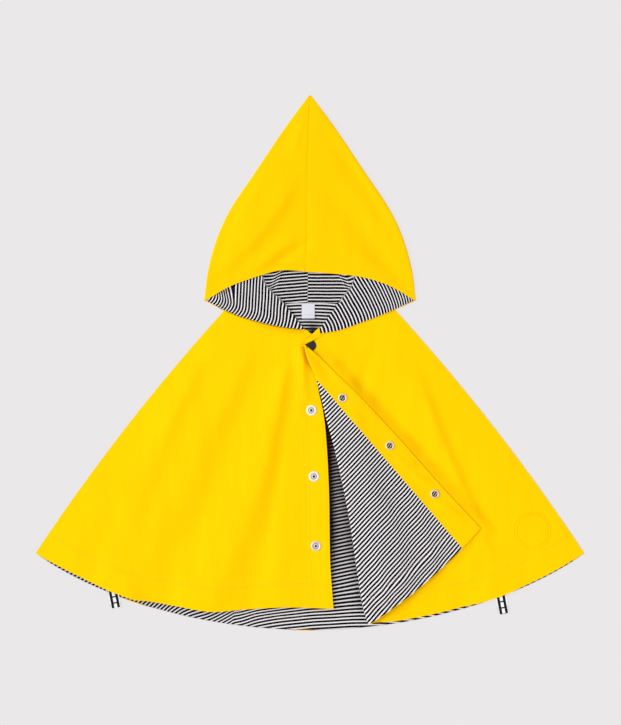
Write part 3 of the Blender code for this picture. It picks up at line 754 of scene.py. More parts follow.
def leftSpot(c, v):
    width = (leftPlan(1.0, v) - leftPlan(0.0, v)).length
    return leftPlan(fromSide(c, width), v)


def placeLeft(c, v, lift):
    spot = leftSpot(c, v)
    spot.z = leftHeight(spot.x, spot.y) + lift
    return spot


def leftEdges(c, v):
    spot = leftSpot(c, v)
    return (spot - leftSpot(c, 1.0)).length, (spot - leftSpot(2.0, v)).length


def leftShade(c, v):
    # The wedge beside the fold at the neck, and what the turned-out hood covers from the light
    x, y, _ = leftSpot(c, v)
    if y < -30.0:
        return 0.0
    off = foldSide(y) - 1.2 - x
    wedge = 0.8 * bell(off, 2.4 if off < 0.0 else 3.2) * smooth(-20.0, 1.0, y) * smooth(24.0, 17.0, y)
    under = 0.34 * bell(cheekEdge[-1](x) - y, 5.0) * smooth(-85.0, -30.0, x)
    return max(wedge, under)


def makeLeftFront(look):
    across, down = leftFront["cells"]
    return makeCloth(
        "front_left", placeLeft, spaced(0, 1, 4) + spaced(1, 2, across)[1:], spaced(0, 1, down),
        (0.0, cloth["shell"]), look, lambda c, v: leftSpot(c, v).xy, leftEdges,
        shade=leftShade)


# Right front: its lower layer, the fold and the part turned back over it

rightFront = {
    "neck": (
        (62.0, 106.0), (52.0, 90.0), (41.0, 72.0), (28.0, 54.0), (19.5, 44.8), (11.0, 40.4),
        (3.6, 33.4), (-5.4, 24.2)),
    "fold": (
        (-7.2, 20.6), (-3.0, 4.0), (7.6, -21.0), (19.2, -66.8), (31.8, -114.8), (46.8, -188.0),
        (61.2, -282.8), (69.6, -314.0)),
    "flapEdge": (
        (-6.4, 20.8), (0.2, 15.8), (5.2, 11.4), (14.4, 3.4), (31.2, -13.4), (60.0, -41.6),
        (108.0, -93.2), (156.0, -147.2), (204.7, -199.4)),
    "flapHemBulge": 6.0, "facingSeam": ((7.9, -20.9), (179.0, -219.1)), "facingOnly": 0.135,
    "radiusNeck": 1.8, "radiusHem": 3.2, "flapRest": 1.15, "clearance": 15.0, "underFold": 1.7,
    "wrapUnder": 7.0, "facingEdge": 0.2, "slack": 1.9, "plateau": 4.6,
    "capHeight": 1.5, "cells": (110, 112), "flapCells": 60, "foldCells": 12, "facingCells": 18,
    "snaps": (("snap_socket_1", 38.9, -42.6), ("snap_socket_2", 95.5, -99.8),
              ("snap_socket_3", 149.4, -157.7)),
    "hemLines": (26.5, 29.0), "facingLines": (2.0, 29.6), "stripeTilt": 46.5,
}
rightFolds = foldTracks((
    # soft bank from the shoulder to the corner of the turned-back part; it drops sharply on its right
    ((118, 20, 0, 40, 10), (128, -14, 1.7, 44, 9), (138, -45, 3.0, 44, 8), (147, -69, 3.3, 40, 8),
     (161, -105, 3.5, 32, 8), (177, -141, 3.5, 24, 8), (186, -159, 3.3, 18, 8), (193, -177, 3.0, 14, 8),
     (207, -213, 1.9, 12, 9), (218, -245, 0, 12, 10)),
    # short one under the hood
    ((84, 40, 0, 6, 8), (78, 20, -0.7, 7, 9), (70, 0, -1.0, 7, 9), (64, -22, -1.2, 6, 9),
     (60, -40, 0, 6, 8)),
    # side and hem
    ((186, 20, 0, 12, 12), (214, -40, 1.0, 18, 14), (246, -110, 1.2, 22, 14), (270, -170, 0, 22, 14)),
    ((120, -262, 0, 16, 16), (140, -276, 0.9, 18, 18), (150, -305, 1.2, 20, 20)),
))
flapFolds = foldTracks((
    # pulls across the facing and the waves of the striped part towards its hem
    ((48, -58, 0, 4, 4), (56, -66, 0.8, 5, 4), (68, -74, 0, 4, 4)),
    ((100, -112, 0, 4, 4), (112, -121, 1.9, 5, 4), (130, -121, 1.2, 5, 4), (138, -126, 0, 4, 4)),
    ((120, -130, 0, 4, 4), (132, -140, 1.9, 5, 4), (148, -146, 1.2, 5, 4), (158, -150, 0, 4, 4)),
    ((146, -166, 0, 4, 4), (158, -173, 2.2, 5, 5), (174, -180, 1.5, 5, 5), (190, -190, 0, 4, 4)),
    # pull along the striped part's hem
    ((76, -290, 0, 6, 5), (90, -277, 1.0, 7, 5), (106, -266, 1.4, 7, 5), (124, -254, 1.4, 7, 5),
     (139, -240, 1.4, 7, 5), (152, -227, 1.2, 7, 5), (168, -214, 0, 6, 5)),
    ((58, -130, 0, 9, 8), (84, -166, 1.1, 12, 9), (104, -206, 1.3, 12, 9), (112, -250, 1.2, 12, 10),
     (116, -290, 0.6, 12, 10)),
    ((100, -130, 0, 8, 7), (126, -176, 1.2, 10, 8), (142, -216, 1.2, 10, 8), (150, -256, 0.8, 10, 8)),
    ((60, -200, 0, 8, 8), (76, -236, 1.0, 9, 8), (88, -280, 1.0, 9, 8), (92, -310, 0.6, 9, 8)),
))
foldLine = curveThrough(rightFront["fold"])
flapLine = curveThrough(rightFront["flapEdge"])


def pastLine(x, y, start, end):
    # Distance to the left of the line from start to end
    along = (end - start).normalized()
    return along.x * (y - start.y) - along.y * (x - start.x)


def foldRadius(v):
    return mix(rightFront["radiusNeck"], rightFront["radiusHem"], v)


@functools.lru_cache(maxsize=None)
def foldBase(v):
    # The fold's visible edge, moved in by its own radius, the wall and the lining over it
    only = rightFront["facingOnly"]
    over = (cloth["lining"] + cloth["gap"]) * smooth(0.6 * only, only, v)
    return foldLine(v) + squareTo(foldLine, v, 1.0) * (foldRadius(v) + halfShell + over)


@functools.lru_cache(maxsize=None)
def foldSquare(v):
    return squareTo(foldLine, v, -1.0)


flapCorner = flapLine(1.0)
flapUpper = flapLine(0.3)
foldTop, foldEnd = foldLine(0.0), foldLine(1.0)
foldSide = graph(foldLine, 1)


def clearOfFlap(x, y):
    # 0 under the turned-back part and 1 well outside it, past a slope of uneven width
    pastEdge = pastLine(x, y, flapCorner, flapUpper)
    pastHem = pastLine(x, y, foldEnd, flapCorner)
    reach = rightFront["clearance"] * (1.0 + 0.7 * wander(x, y, 26.0, 26.0, 12.0))
    return smooth(0.0, reach, max(-pastEdge, -pastHem))


@functools.lru_cache(maxsize=None)
def foldLift(x, y):
    spot = Vector((x, y, 0.0))
    away = min((spot - foldLine(step / 12)).length for step in range(13))
    return rightFront["underFold"] * smooth(62.0, 26.0, away)


def plateau(x, y):
    # Air held under the turned-back part, none at the fold, the hem and the neck
    inFold = smooth(4.0, 46.0, pastLine(x, y, foldTop, foldEnd))
    inHem = smooth(2.0, 44.0, y - hemY(x))
    return rightFront["plateau"] * inFold * inHem * smooth(14.0, -40.0, y)


@functools.lru_cache(maxsize=None)
def rightHeight(x, y):
    # Underside of the right front's lower layer
    clear = smooth(40.0, 8.0, y) * smooth(0.0, 46.0, sideDepth(x, y))
    hemSlack = mix(0.35, 1.0, smooth(0.0, 46.0, y - hemY(x)))
    outer = softFloor(
        rightFront["slack"] * hemSlack + foldHeight(x, y, rightFolds) + unevenness(x, y, 9.0))
    outside = clearOfFlap(x, y)
    slack = clear * outer * outside + plateau(x, y) * (1.0 - outside)
    return frontFloor(x, y) + slack + foldLift(x, y)


def rightHem(t):
    # Along the back's hem and, past the corner, above it by as much as the fold's end is
    end = foldBase(1.0)
    x = mix(body["halfWidth"], end.x, t)
    atFold = (end.y - hemY(end.x)) * smooth(0.86, 1.0, t)
    rise = 1.1 * smooth(0.0, 0.06, t) * smooth(0.36, 0.28, t)
    rise += 2.5 * smooth(0.44, 0.6, t) * smooth(1.0, 0.86, t)
    return Vector((x, hemY(x) + rise + atFold, 0.0))


rightNeckLine = curveThrough(rightFront["neck"])


def rightNeck(t):
    return rightNeckLine(t) + (foldBase(0.0) - rightNeckLine(1.0)) * t ** 3


lowerPlan = patch(sideLine(1), foldBase, rightNeck, rightHem)
upperPlan = patch(
    foldBase, flapLine, straight(foldBase(0.0), flapLine(0.0)),
    bowed(foldBase(1.0).xy, flapLine(1.0).xy, -rightFront["flapHemBulge"]))


@functools.lru_cache(maxsize=None)
def flapRaise(x, y, u, v):
    # Height of the turned-back part over the lower layer, without the fold's own roundness
    overCap = (rightFront["capHeight"] + cloth["gap"]) * smooth(0.10, 0.045, v)
    rest = rightFront["flapRest"] + overCap
    calm = smooth(0.02, 0.3, u)
    ripple = calm * (foldHeight(x, y, flapFolds) + 0.7 * max(unevenness(x, y, 17.0), -0.3))
    edge = smooth(0.93, 1.0, u)
    return mix(2 * foldRadius(v), rest, smooth(0.0, 0.8, u)) + ripple * (1.0 - edge) - 0.35 * edge


def lowerWidth(v):
    return (sideLine(1)(v) - foldBase(v)).length


def placeRight(a, v, lift):
    # Columns -1 to 0 span the side seam's strip, 0 to 1 run to the fold, 1 to 2 round it, 2 to 3
    # on to the free edge; lift is positive on the lining's side
    radius = foldRadius(v)
    if a <= 1.0:
        spot = lowerPlan(fromSide(a + 1.0, lowerWidth(v)), v)
        spot.z = rightHeight(spot.x, spot.y) + halfShell - lift
    elif a < 2.0:
        angle = math.pi * (a - 1.5)
        base = foldBase(v)
        spot = base + foldSquare(v) * (radius + lift) * math.cos(angle)
        spot.z = rightHeight(base.x, base.y) + halfShell + radius + (radius + lift) * math.sin(angle)
    else:
        u = a - 2.0
        spot = upperPlan(u, v)
        spot.z = rightHeight(spot.x, spot.y) + halfShell + flapRaise(spot.x, spot.y, u, v) + lift
    return spot


def rightFlat(a, v):
    # Where a point lies once the fold is opened out, the turned-back part's own way up
    if a <= 1.0:
        return placeRight(a, v, 0.0).xy
    if a < 2.0:
        turned = math.pi * (2.0 - a) * foldRadius(v)
        return (foldBase(v) + foldSquare(v) * turned).xy
    return upperPlan(a - 2.0, v).xy


def rightEdges(a, v):
    if a < 2.0:
        return (rightFlat(a, v) - rightFlat(a, 1.0)).length, 200.0
    spot = upperPlan(a - 2.0, v)
    return (spot - upperPlan(a - 2.0, 1.0)).length, (spot - flapLine(v)).length


def rightShade(a, v):
    # The lower layer falls away from the light beside the free edge
    if a > 1.0:
        return 0.0
    x, y, _ = placeRight(a, v, 0.0)
    out = -pastLine(x, y, flapCorner, flapUpper)
    along = smooth(-204.0, -176.0, y) * smooth(30.0, 5.0, y)
    strength = 0.23 + 0.2 * wander(x, y, 22.0, 22.0, 5.0)
    return max(strength, 0.0) * smooth(19.0, 8.0, out) * mix(0.35, 1.0, smooth(0.0, 5.0, out)) * along


def seamColumn(v):
    # Column of the facing's seam, which starts on the fold's visible edge and runs down the flat
    only = rightFront["facingOnly"]
    if v < only:
        return mix(2.0, 1.5, smooth(0.6 * only, only, v))
    start, end = foldBase(v), flapLine(v)
    seamStart, seamEnd = (Vector((*row, 0.0)) for row in rightFront["facingSeam"])
    along, seam = end - start, seamEnd - seamStart
    offset = seamStart - start
    share = (offset.x * seam.y - offset.y * seam.x) / (along.x * seam.y - along.y * seam.x)
    if share >= 0.0:
        return 2.0 + share
    outer = foldRadius(v) + liningTop
    return 2.0 - math.asin(min(-share * along.length / outer, 1.0)) / math.pi


def makeRightFront(shellLook, liningLook, facingLook):
    only = rightFront["facingOnly"]
    across, down = rightFront["cells"]
    top = round(down * only)
    rows = spaced(0, only, top) + spaced(only, 1, down - top)[1:]
    halfRound = spaced(1, 2, rightFront["foldCells"])
    columns = spaced(-1, 0, 4)[:-1] + spaced(0, 1, across)[:-1] + halfRound
    columns += spaced(2, 3, rightFront["flapCells"])[1:]
    front = makeCloth(
        "front_right", placeRight, columns, rows, (-halfShell, halfShell), shellLook,
        rightFlat, rightEdges, shade=rightShade)
    innerRows = rows[:-1] + [1.0 - 0.7 * body["hemRim"] / (foldEnd - foldTop).length]

    def liningColumn(c, v):
        if c < 1.0:
            return 1.0 - (1.0 - c) * rightFront["wrapUnder"] / lowerWidth(v)
        seam = seamColumn(v)
        turned = min(2.0, 1.0 + 0.93 * (seam - 1.0))
        return mix(1.0, turned, c - 1.0) if c < 2.0 else mix(turned, seam, c - 2.0)

    def placeLining(c, v, lift):
        return placeRight(liningColumn(c, v), v, lift)

    def flatLining(c, v):
        # Stripes run nearly square to the facing's seam, turning a little towards the hem
        x, y = rightFlat(liningColumn(c, v), v)
        tilt = math.radians(rightFront["stripeTilt"])
        stripe = y * math.cos(tilt) - x * math.sin(tilt)
        across = x * math.cos(tilt) + y * math.sin(tilt)
        stripe += (across + 80.0) * mix(0.03, -0.06, limited((-20.0 - stripe) / 260.0))
        sway = wander(x, y, 34.0, 34.0, 21.0) * smooth(-40.0, -160.0, y)
        stripe = 1.075 * stripe + 0.4 * sway + 0.7 * foldHeight(x, y, flapFolds)
        return across, stripe + 0.15 * wander(x, y, 13.0, 13.0, 2.0)

    lining = makeCloth(
        "front_right_lining", placeLining, [0.0, 0.5] + halfRound + spaced(2, 3, 44)[1:],
        innerRows[top:], (liningLow, liningTop), liningLook, flatLining,
        lambda c, v: rightEdges(liningColumn(c, v), v))

    def facingColumn(c, v):
        width = (flapLine(v) - foldBase(v)).length
        return mix(seamColumn(v) + cloth["gap"] / width, 3.0 - rightFront["facingEdge"] / width, c)

    def placeFacing(c, v, lift):
        return placeRight(facingColumn(c, v), v, lift)

    facing = makeCloth(
        "front_right_facing", placeFacing, spaced(0, 1, rightFront["facingCells"]), innerRows[1:],
        (liningLow, liningTop), facingLook,
        lambda c, v: rightFlat(facingColumn(c, v), v), lambda c, v: rightEdges(facingColumn(c, v), v))
    return front, lining, facing, placeFacing, placeLining


# Hood: on each half a top layer, the fold at its silhouette and a lower layer with the cheek,
# which rolls outwards over the front so that its lining shows

hood = {
    "side": (
        (0.0, 321.0), (31.2, 278.8), (63.6, 230.8), (95.0, 184.0), (112.2, 147.0), (122.6, 109.0),
        (127.2, 74.0)),
    "seam": ((0.0, 320.0), (-2.4, 243.0), (-5.0, 109.0)),
    "backSeam": ((0.0, 320.0), (-3.0, 71.5)),
    "forehead": {
        -1: ((-127.2, 74.6), (-96.0, 91.9), (-57.6, 105.2), (-33.0, 110.6), (-5.0, 109.0)),
        1: ((127.2, 74.6), (108.6, 86.2), (85.7, 96.6), (52.8, 104.3), (-5.0, 109.0))},
    "cheek": {
        -1: ((-127.2, 73.4), (-93.6, 57.4), (-64.8, 48.4), (-37.7, 42.4), (-7.2, 38.8)),
        1: ((127.2, 73.4), (95.3, 59.2), (66.7, 48.4), (36.0, 37.9), (13.7, 34.0))},
    "crease": {
        -1: ((0.0, 320.0), (-38.0, 240.0), (-60.0, 170.0), (-57.6, 102.4), (-32.4, 71.5)),
        1: ((0.0, 320.0), (38.0, 240.0), (57.0, 170.0), (54.0, 102.4), (34.8, 71.5))},
    "roll": {
        -1: ((-32.4, 71.5), (-20.0, 55.4), (-7.2, 38.8)),
        1: ((34.8, 71.5), (24.4, 56.5), (13.4, 40.8), (13.4, 34.0))},
    "separation": 3.4, "puff": 1.6, "apexWidth": 1.1, "apexSeparation": 0.9, "cornerSeparation": 1.6,
    "seamHalfGap": 0.15, "seamDip": 0.4,
    "creaseStrip": 6.0, "rows": 90, "neckRow": 72, "liningRow": 48, "cheekRim": 0.8, "seamRound": 1.1,
    "foreheadLine": 7.2, "finer": 1.05,
}
cheekEdge = {side: graph(curveThrough(hood["cheek"][side]), 0) for side in (-1, 1)}
hoodFolds = foldTracks((
    # left half: a long band, a short sharp one under it and a faint one towards the silhouette
    ((-18, 240, 0, 16, 8), (-23, 217, 1.4, 20, 9), (-30, 198, 2.5, 25, 9), (-42, 180, 3.1, 28, 9),
     (-56, 162, 3.2, 28, 9), (-71, 144, 3.1, 27, 9), (-86, 129, 2.7, 24, 9), (-104, 110, 1.5, 18, 9),
     (-118, 96, 0, 14, 8)),
    ((-14, 200, 0, 8, 12), (-32, 158, -0.6, 9, 14), (-68, 118, -0.7, 9, 13), (-100, 92, 0, 7, 10)),
    ((2, 144, 0, 4, 3), (-9, 139, -1.7, 6, 4.5), (-26, 129, -2.3, 7, 6), (-46, 115, -1.4, 7, 6),
     (-64, 104, 0, 6, 5)),
    ((-14, 150, 0, 8, 6), (-34, 137, 1.8, 9, 6), (-56, 120, 1.3, 9, 7), (-74, 106, 0, 8, 6)),
    ((-26, 262, 0, 12, 8), (-40, 234, 0.4, 14, 8), (-56, 214, 0.5, 14, 8), (-72, 196, 0.5, 14, 8),
     (-88, 174, 0.5, 14, 8), (-108, 146, 0.3, 12, 8), (-114, 126, 0, 10, 8)),
    # right half: along the silhouette, then a broad soft one inside it
    ((12, 286, 0, 6, 5), (37, 249, -1.3, 11, 10), (68, 213, -1.7, 13, 10), (99, 171, -1.9, 13, 9),
     (119, 128, -1.9, 11, 8), (127, 100, -0.8, 8, 6), (129, 84, 0, 8, 6)),
    ((12, 214, 0, 8, 8), (34, 190, -1.5, 14, 13), (57, 164, -2.2, 14, 13), (80, 134, -2.2, 14, 14),
     (104, 110, -1.0, 10, 10), (114, 98, 0, 8, 6)),
    ((-2, 131, 0, 3, 3), (8, 126, -0.9, 4, 3), (20, 121, -1.0, 4, 3), (34, 116, 0, 4, 3)),
    # near the point
    ((-8, 292, 0, 4, 3), (-16, 264, 0.9, 6, 4), (-24, 240, 0, 8, 5)),
))
# Small ridges of the layer seen through the opening, and the tuck of the left cheek
hoodInnerFolds = foldTracks((
    ((-38, 112, 0, 3, 3), (-42, 103, 1.0, 4, 2.5), (-48, 90, 0.8, 4, 2.5), (-50, 82, 0, 3, 3)),
    ((30, 112, 0, 3, 3), (34, 104, 0.9, 3, 3.5), (41, 94, 0.9, 3, 4), (45, 86, 0, 3, 3)),
    ((-112, 92, 0, 4, 3), (-100, 93, 1.2, 5, 3), (-92, 88, 0.9, 5, 3), (-88, 82, 0, 4, 3)),
))


def foldedFloor(side, x, y):
    # Underside of the hood's lower layer: on the fronts, and down to the surface past the body
    frontTop = 2 * cloth["shell"] + cloth["lining"] + 3 * cloth["gap"]
    frontTop += foldLift(x, y) if side > 0 else 0.0
    overBody = smooth(-32.0, -11.0, sideDepth(x, y)) * smooth(152.0, 118.0, y)
    return (frontTop + cloth["gap"]) * overBody


@functools.lru_cache(maxsize=None)
def hoodSlack(x, y):
    return foldHeight(x, y, hoodFolds) + 0.9 * unevenness(x, y, 31.0)


@functools.lru_cache(maxsize=None)
def hoodInnerSlack(x, y):
    return foldHeight(x, y, hoodInnerFolds)


def hoodPlace(side):
    outline = curveThrough(hood["side"], side)
    topSeam, backSeam = curveThrough(hood["seam"]), curveThrough(hood["backSeam"])
    forehead, cheek = curveThrough(hood["forehead"][side]), curveThrough(hood["cheek"][side])
    crease, roll = curveThrough(hood["crease"][side]), curveThrough(hood["roll"][side])
    neckShare = hood["neckRow"] / hood["rows"]

    def radiusAt(v):
        full = mix(hood["apexSeparation"], hood["separation"], smooth(0.0, 0.1, v))
        return mix(full, hood["cornerSeparation"], smooth(0.85, 1.0, v)) / 2

    @functools.lru_cache(maxsize=None)
    def sideBase(v):
        inset = radiusAt(v) + halfShell
        apart = Vector((side * hood["apexWidth"] * (1.0 - v), 0.0, 0.0))
        return outline(v) + squareTo(outline, v, -side) * inset + apart

    @functools.lru_cache(maxsize=None)
    def outwards(v):
        return squareTo(outline, v, side)

    def seamLine(line):
        return lambda t: line(t) + Vector((side * hood["seamHalfGap"], 0.0, 0.0))

    topCentre, backCentre = seamLine(topSeam), seamLine(backSeam)

    def rollLine(v):
        # Down the crease to the neck seam, then straight on to the cheek's point
        below = max(v - neckShare, 0.0) / (1.0 - neckShare)
        apart = Vector((side * hood["apexWidth"] / 2 * (1.0 - v), 0.0, 0.0))
        return (crease(v / neckShare) if v < neckShare else roll(below)) + apart

    def edge(line, start, end):
        return lambda t: line(t) + (start - line(0.0)) * (1 - t) + (end - line(1.0)) * t

    topPlan = patch(
        topCentre, sideBase, straight(topCentre(0.0), sideBase(0.0)),
        edge(lambda t: forehead(1.0 - t), topCentre(1.0), sideBase(1.0)))
    cheekPlan = patch(
        sideBase, rollLine, straight(sideBase(0.0), rollLine(0.0)),
        edge(cheek, sideBase(1.0), rollLine(1.0)))

    def middle(x, y):
        return foldedFloor(side, x, y) + halfShell

    def level(a, v):
        # Where a point lies in plan, without its height
        if a < 1.0:
            return topPlan(a, v)
        if a < 2.0:
            return sideBase(v)
        if a <= 3.0:
            return cheekPlan(a - 2.0, v)
        start, end = rollLine(v), backCentre(min(v / neckShare, 1.0))
        strip = min(hood["creaseStrip"] / max((end - start).length, 0.1), 0.5)
        return start.lerp(end, (a - 3.0) * strip if a < 4.0 else mix(strip, 1.0, a - 4.0))

    def place(a, v, lift):
        spot = level(a, v).copy()
        if a < 1.0:
            along = smooth(0.0, 0.55, v) * mix(1.0, 0.55, smooth(0.7, 1.0, v))
            crown = hood["puff"] * (1.0 - a ** 3) * along
            slack = hoodSlack(spot.x, spot.y) * smooth(0.0, 0.25, 1.0 - a) * smooth(0.0, 0.1, v)
            fromSeam = abs(spot.x - topCentre(v).x)
            seam = hood["seamDip"] * bell(fromSeam, hood["seamRound"]) * smooth(0.0, 0.1, v)
            spot.z = middle(spot.x, spot.y) + 2 * radiusAt(v) + crown + slack - seam + lift
        elif a < 2.0:
            angle = math.pi * (1.5 - a)
            radius = radiusAt(v)
            spot += outwards(v) * (radius + lift) * math.cos(angle)
            base = sideBase(v)
            spot.z = middle(base.x, base.y) + radius + (radius + lift) * math.sin(angle)
        elif a <= 3.0:
            slack = hoodInnerSlack(spot.x, spot.y) * smooth(2.0, 2.15, a)
            spot.z = middle(spot.x, spot.y) + slack - lift
        else:
            start = rollLine(v)
            slack = hoodInnerSlack(spot.x, spot.y) * smooth(3.0, 4.0, a)
            spot.z = mix(middle(start.x, start.y), halfShell, smooth(3.0, 4.0, a)) + slack - lift
        return spot

    return place, level


# How fast the stripes of the turned-out cheeks pass from the left, and up from the free edge
cheekRuns = {
    -1: summed(((-135, 1.33), (-97, 1.33), (-90, 1.15), (-67, 1.095), (-45, 1.06), (-23, 1.03), (0, 1.02))),
    1: summed((
        (10, 1.0), (24, 1.01), (42, 1.05), (60, 1.08), (78, 1.18), (96, 1.32), (110, 1.44),
        (130, 1.65)))}
cheekLeans = {
    -1: summed(((-5, -0.68), (5, -0.68), (8, -0.5), (13, -0.15), (17, 0.0), (60, 0.0))),
    1: summed(((-5, 0.15), (2, 0.2), (6, 0.28), (13, 0.46), (40, 0.54), (60, 0.54)))}


def cheekStripes(side, x, down):
    # Across the stripes of a turned-out cheek; down is the distance to its free edge
    if side > 0:
        return cheekRuns[side](x) + cheekLeans[side](down) + liningFinish["period"] / 2
    atEdge = mix(0.2, 1.0, smooth(-10.0, -100.0, x))
    upper = 0.4 * max(down - 14.0, 0.0) * smooth(-88.0, -100.0, x)
    # The runs are measured 5 mm above the free edge, so the lean is nothing there
    lean = (cheekLeans[side](down) - cheekLeans[side](5.0)) * atEdge
    return cheekRuns[side](x) - 0.06 * down + lean + upper + 0.024 * liningFinish["period"]


def makeHood(side, word, shellLook, liningLook):
    place, level = hoodPlace(side)
    rows = spaced(0, 1, hood["rows"])
    lower = [2.0, 2.04] + spaced(2.1, 3, 26) + spaced(3, 4, 4)[1:] + spaced(4, 5, 16)[1:]
    columns = spaced(0, 1, 44)[:-1] + spaced(1, 2, 10)[:-1] + lower
    rollColumn, liningRoll = columns.index(3), lower.index(3)

    def edges(a, v):
        # Past the top layer no stitch row is near
        if a >= 1.0:
            return 400.0, 400.0
        spot = level(a, v)
        return (spot - level(a, 1.0)).length, (spot - level(0.0, v)).length

    shellHalf = makeCloth(
        "hood_" + word, place, columns, rows, (-halfShell, halfShell), shellLook,
        lambda a, v: level(a, v).xy, edges,
        keep=lambda column, row: column < rollColumn or row < hood["neckRow"])
    edgeRow = 1.0 - hood["cheekRim"] / 250.0
    neckShare = hood["neckRow"] / hood["rows"]

    def placeLining(c, v, lift):
        spot = place(c, min(v, edgeRow) if c <= 3.0 else v, lift)
        if v > neckShare and c <= 3.0:
            spot.x -= side * 0.9 * smooth(2.9, 3.0, c)
        return spot

    def shadeLining(c, v):
        # The layer seen through the opening, and the tuck in the left cheek
        x, y, _ = level(c, v)
        if c > 3.0:
            return 0.14
        if side > 0:
            return 0.0
        alongTuck = smooth(-114.0, -108.0, x) * smooth(-91.0, -94.5, x)
        return 0.6 * bell(y - 86.6 - 0.32 * (x + 101.0), 2.0) * alongTuck

    def flatLining(a, v):
        x, y = level(a, v).xy
        if a <= 3.0:
            across = y
            stripe = cheekStripes(side, x, y - cheekEdge[side](x))
        else:
            across = x
            if side < 0:
                bendX = -38.0 - (105.8 - y) * 0.45
                slipped = 4.4 * smooth(bendX + 4.0, bendX - 4.0, x) * smooth(82.0, 92.0, y)
                stripe = y - 74.2 - 0.08 * (x + 18.6) + slipped
            else:
                past = x - (32.2 + (107.2 - y) * 0.63)
                stripe = y - 73.4 + 3.0 * smooth(0.0, 6.0, past) * smooth(20.0, 7.0, past)
            stripe = hood["finer"] * stripe + 0.75 * liningFinish["period"]
        return across, stripe + 0.35 * wander(x, y, 14.0, 14.0, 40.0 + side)

    liningHalf = makeCloth(
        "hood_lining_" + word, placeLining, lower, rows[hood["liningRow"]:],
        (-liningLow, -liningTop), liningLook, flatLining, edges,
        keep=lambda column, row: column < liningRoll or row < hood["neckRow"] - hood["liningRow"],
        shade=shadeLining)
    return shellHalf, liningHalf, place, level


# Neck: bindings, label and the closed snap

neck = {
    "leftInner": ((-4.6, 39.4), (2.6, 33.2)), "leftOuter": ((-8.4, 36.6), (-1.6, 30.6)),
    "rightInner": ((10.6, 41.2), (-6.4, 24.9)), "rightOuter": ((14.4, 31.8), (-5.6, 21.9)),
    "cap": (0.8, 20.2), "capRadius": 6.6, "spread": 5.0, "crown": 0.7,
}


def makeBindings(look):
    for word, heightAt, cells in (("left", leftHeight, (6, 12)), ("right", rightHeight, (8, 24))):
        inner, outer = (
            straight(*(Vector((*point, 0.0)) for point in neck[word + part]))
            for part in ("Inner", "Outer"))

        def place(u, v, lift):
            # The right one rises over the cap
            spot = inner(v).lerp(outer(v), u)
            away = math.hypot(spot.x - neck["cap"][0], spot.y - neck["cap"][1])
            nearCap = smooth(neck["capRadius"] + neck["spread"], neck["capRadius"] + cloth["gap"], away)
            overCap = (rightFront["capHeight"] + 2 * cloth["gap"]) * nearCap if word == "right" else 0.0
            crown = neck["crown"] * 4.0 * u * (1.0 - u)
            spot.z = heightAt(spot.x, spot.y) + cloth["shell"] + cloth["gap"] + overCap + crown + lift
            return spot

        makeCloth(
            "neck_binding_" + word, place, spaced(0, 1, cells[0]), spaced(0, 1, cells[1]),
            (0.0, cloth["lining"]), look, lambda u, v: place(u, v, 0.0).xy,
            lambda u, v: (4.5 * u, 18.0 * v))


label = {
    "halfWidth": 7.6, "height": 17.2, "centreX": -2.2, "seamGap": 1.2, "curl": 1.2, "wall": 0.4,
    "white": (0.67, 0.67, 0.73, 1.0), "grey": (0.44, 0.44, 0.50, 1.0), "pitch": 0.0003,
    "rule": 4.2, "ruleWidth": 0.0005, "ruleShare": 0.6, "bow": 0.5, "depth": 0.00005,
}


def makeLabel():
    # Bare, apart from one ruled line
    material, tree, shader = newMaterial("labelSatin", 0.5, 0.0, 0.4)
    surface = uvMap(tree, "cloth")
    ruled = dipOf(tree, axesOf(tree, surface)["Y"], 0.0, label["rule"] * mm, label["ruleWidth"])
    share = calc(tree, "MULTIPLY", ruled, label["ruleShare"])
    colour = blendColours(tree, share, label["white"], label["grey"])
    finishLook(tree, shader, colour, weaveOf(tree, surface, label["pitch"]), label["depth"])

    def place(u, v, lift):
        x = label["centreX"] + mix(-label["halfWidth"], label["halfWidth"], u)
        y = body["neckSeamY"] - label["seamGap"] - label["height"] * v
        bow = label["bow"] * 4.0 * u * (1.0 - u) * v
        return Vector((x, y, backTop + label["curl"] * v * v + bow + lift))

    return makeCloth(
        "neck_label", place, spaced(0, 1, 14), spaced(0, 1, 14), (0.0, label["wall"]), material,
        lambda u, v: (u * 2 * label["halfWidth"], (1.0 - v) * label["height"]),
        lambda u, v: (0.0, 0.0))


# Tape loops at the hem, each a tape doubled back under itself

tape = {
    "white": (0.88, 0.87, 0.88, 1.0), "black": (0.006, 0.005, 0.008, 1.0), "pitch": 0.0006,
    "rail": 0.0034, "railHalf": 0.0016, "rungStep": 0.0076, "rungShare": 0.11, "rungReach": 0.0038,
    "depth": 0.00012,
}


def makeTapeLook():
    # White tape with two dark rails and rungs between them
    material, tree, shader = newMaterial("ladderTape", 0.8, 0.0, 0.2)
    surface = uvMap(tree, "cloth")
    axes = axesOf(tree, surface)

    def distance(value, at):
        return calc(tree, "ABSOLUTE", calc(tree, "SUBTRACT", value, at))

    def under(value, limit):
        return calc(tree, "LESS_THAN", value, limit)

    fromMiddle = distance(axes["X"], loops["width"] / 2 * mm)
    fromRung = distance(calc(tree, "FRACT", calc(tree, "DIVIDE", axes["Y"], tape["rungStep"])), 0.5)
    rail = under(distance(fromMiddle, tape["rail"]), tape["railHalf"])
    rung = calc(
        tree, "MULTIPLY", under(fromRung, tape["rungShare"]), under(fromMiddle, tape["rungReach"]))
    colour = blendColours(tree, calc(tree, "MAXIMUM", rail, rung), tape["white"], tape["black"])
    finishLook(tree, shader, colour, weaveOf(tree, surface, tape["pitch"]), tape["depth"])
    return material


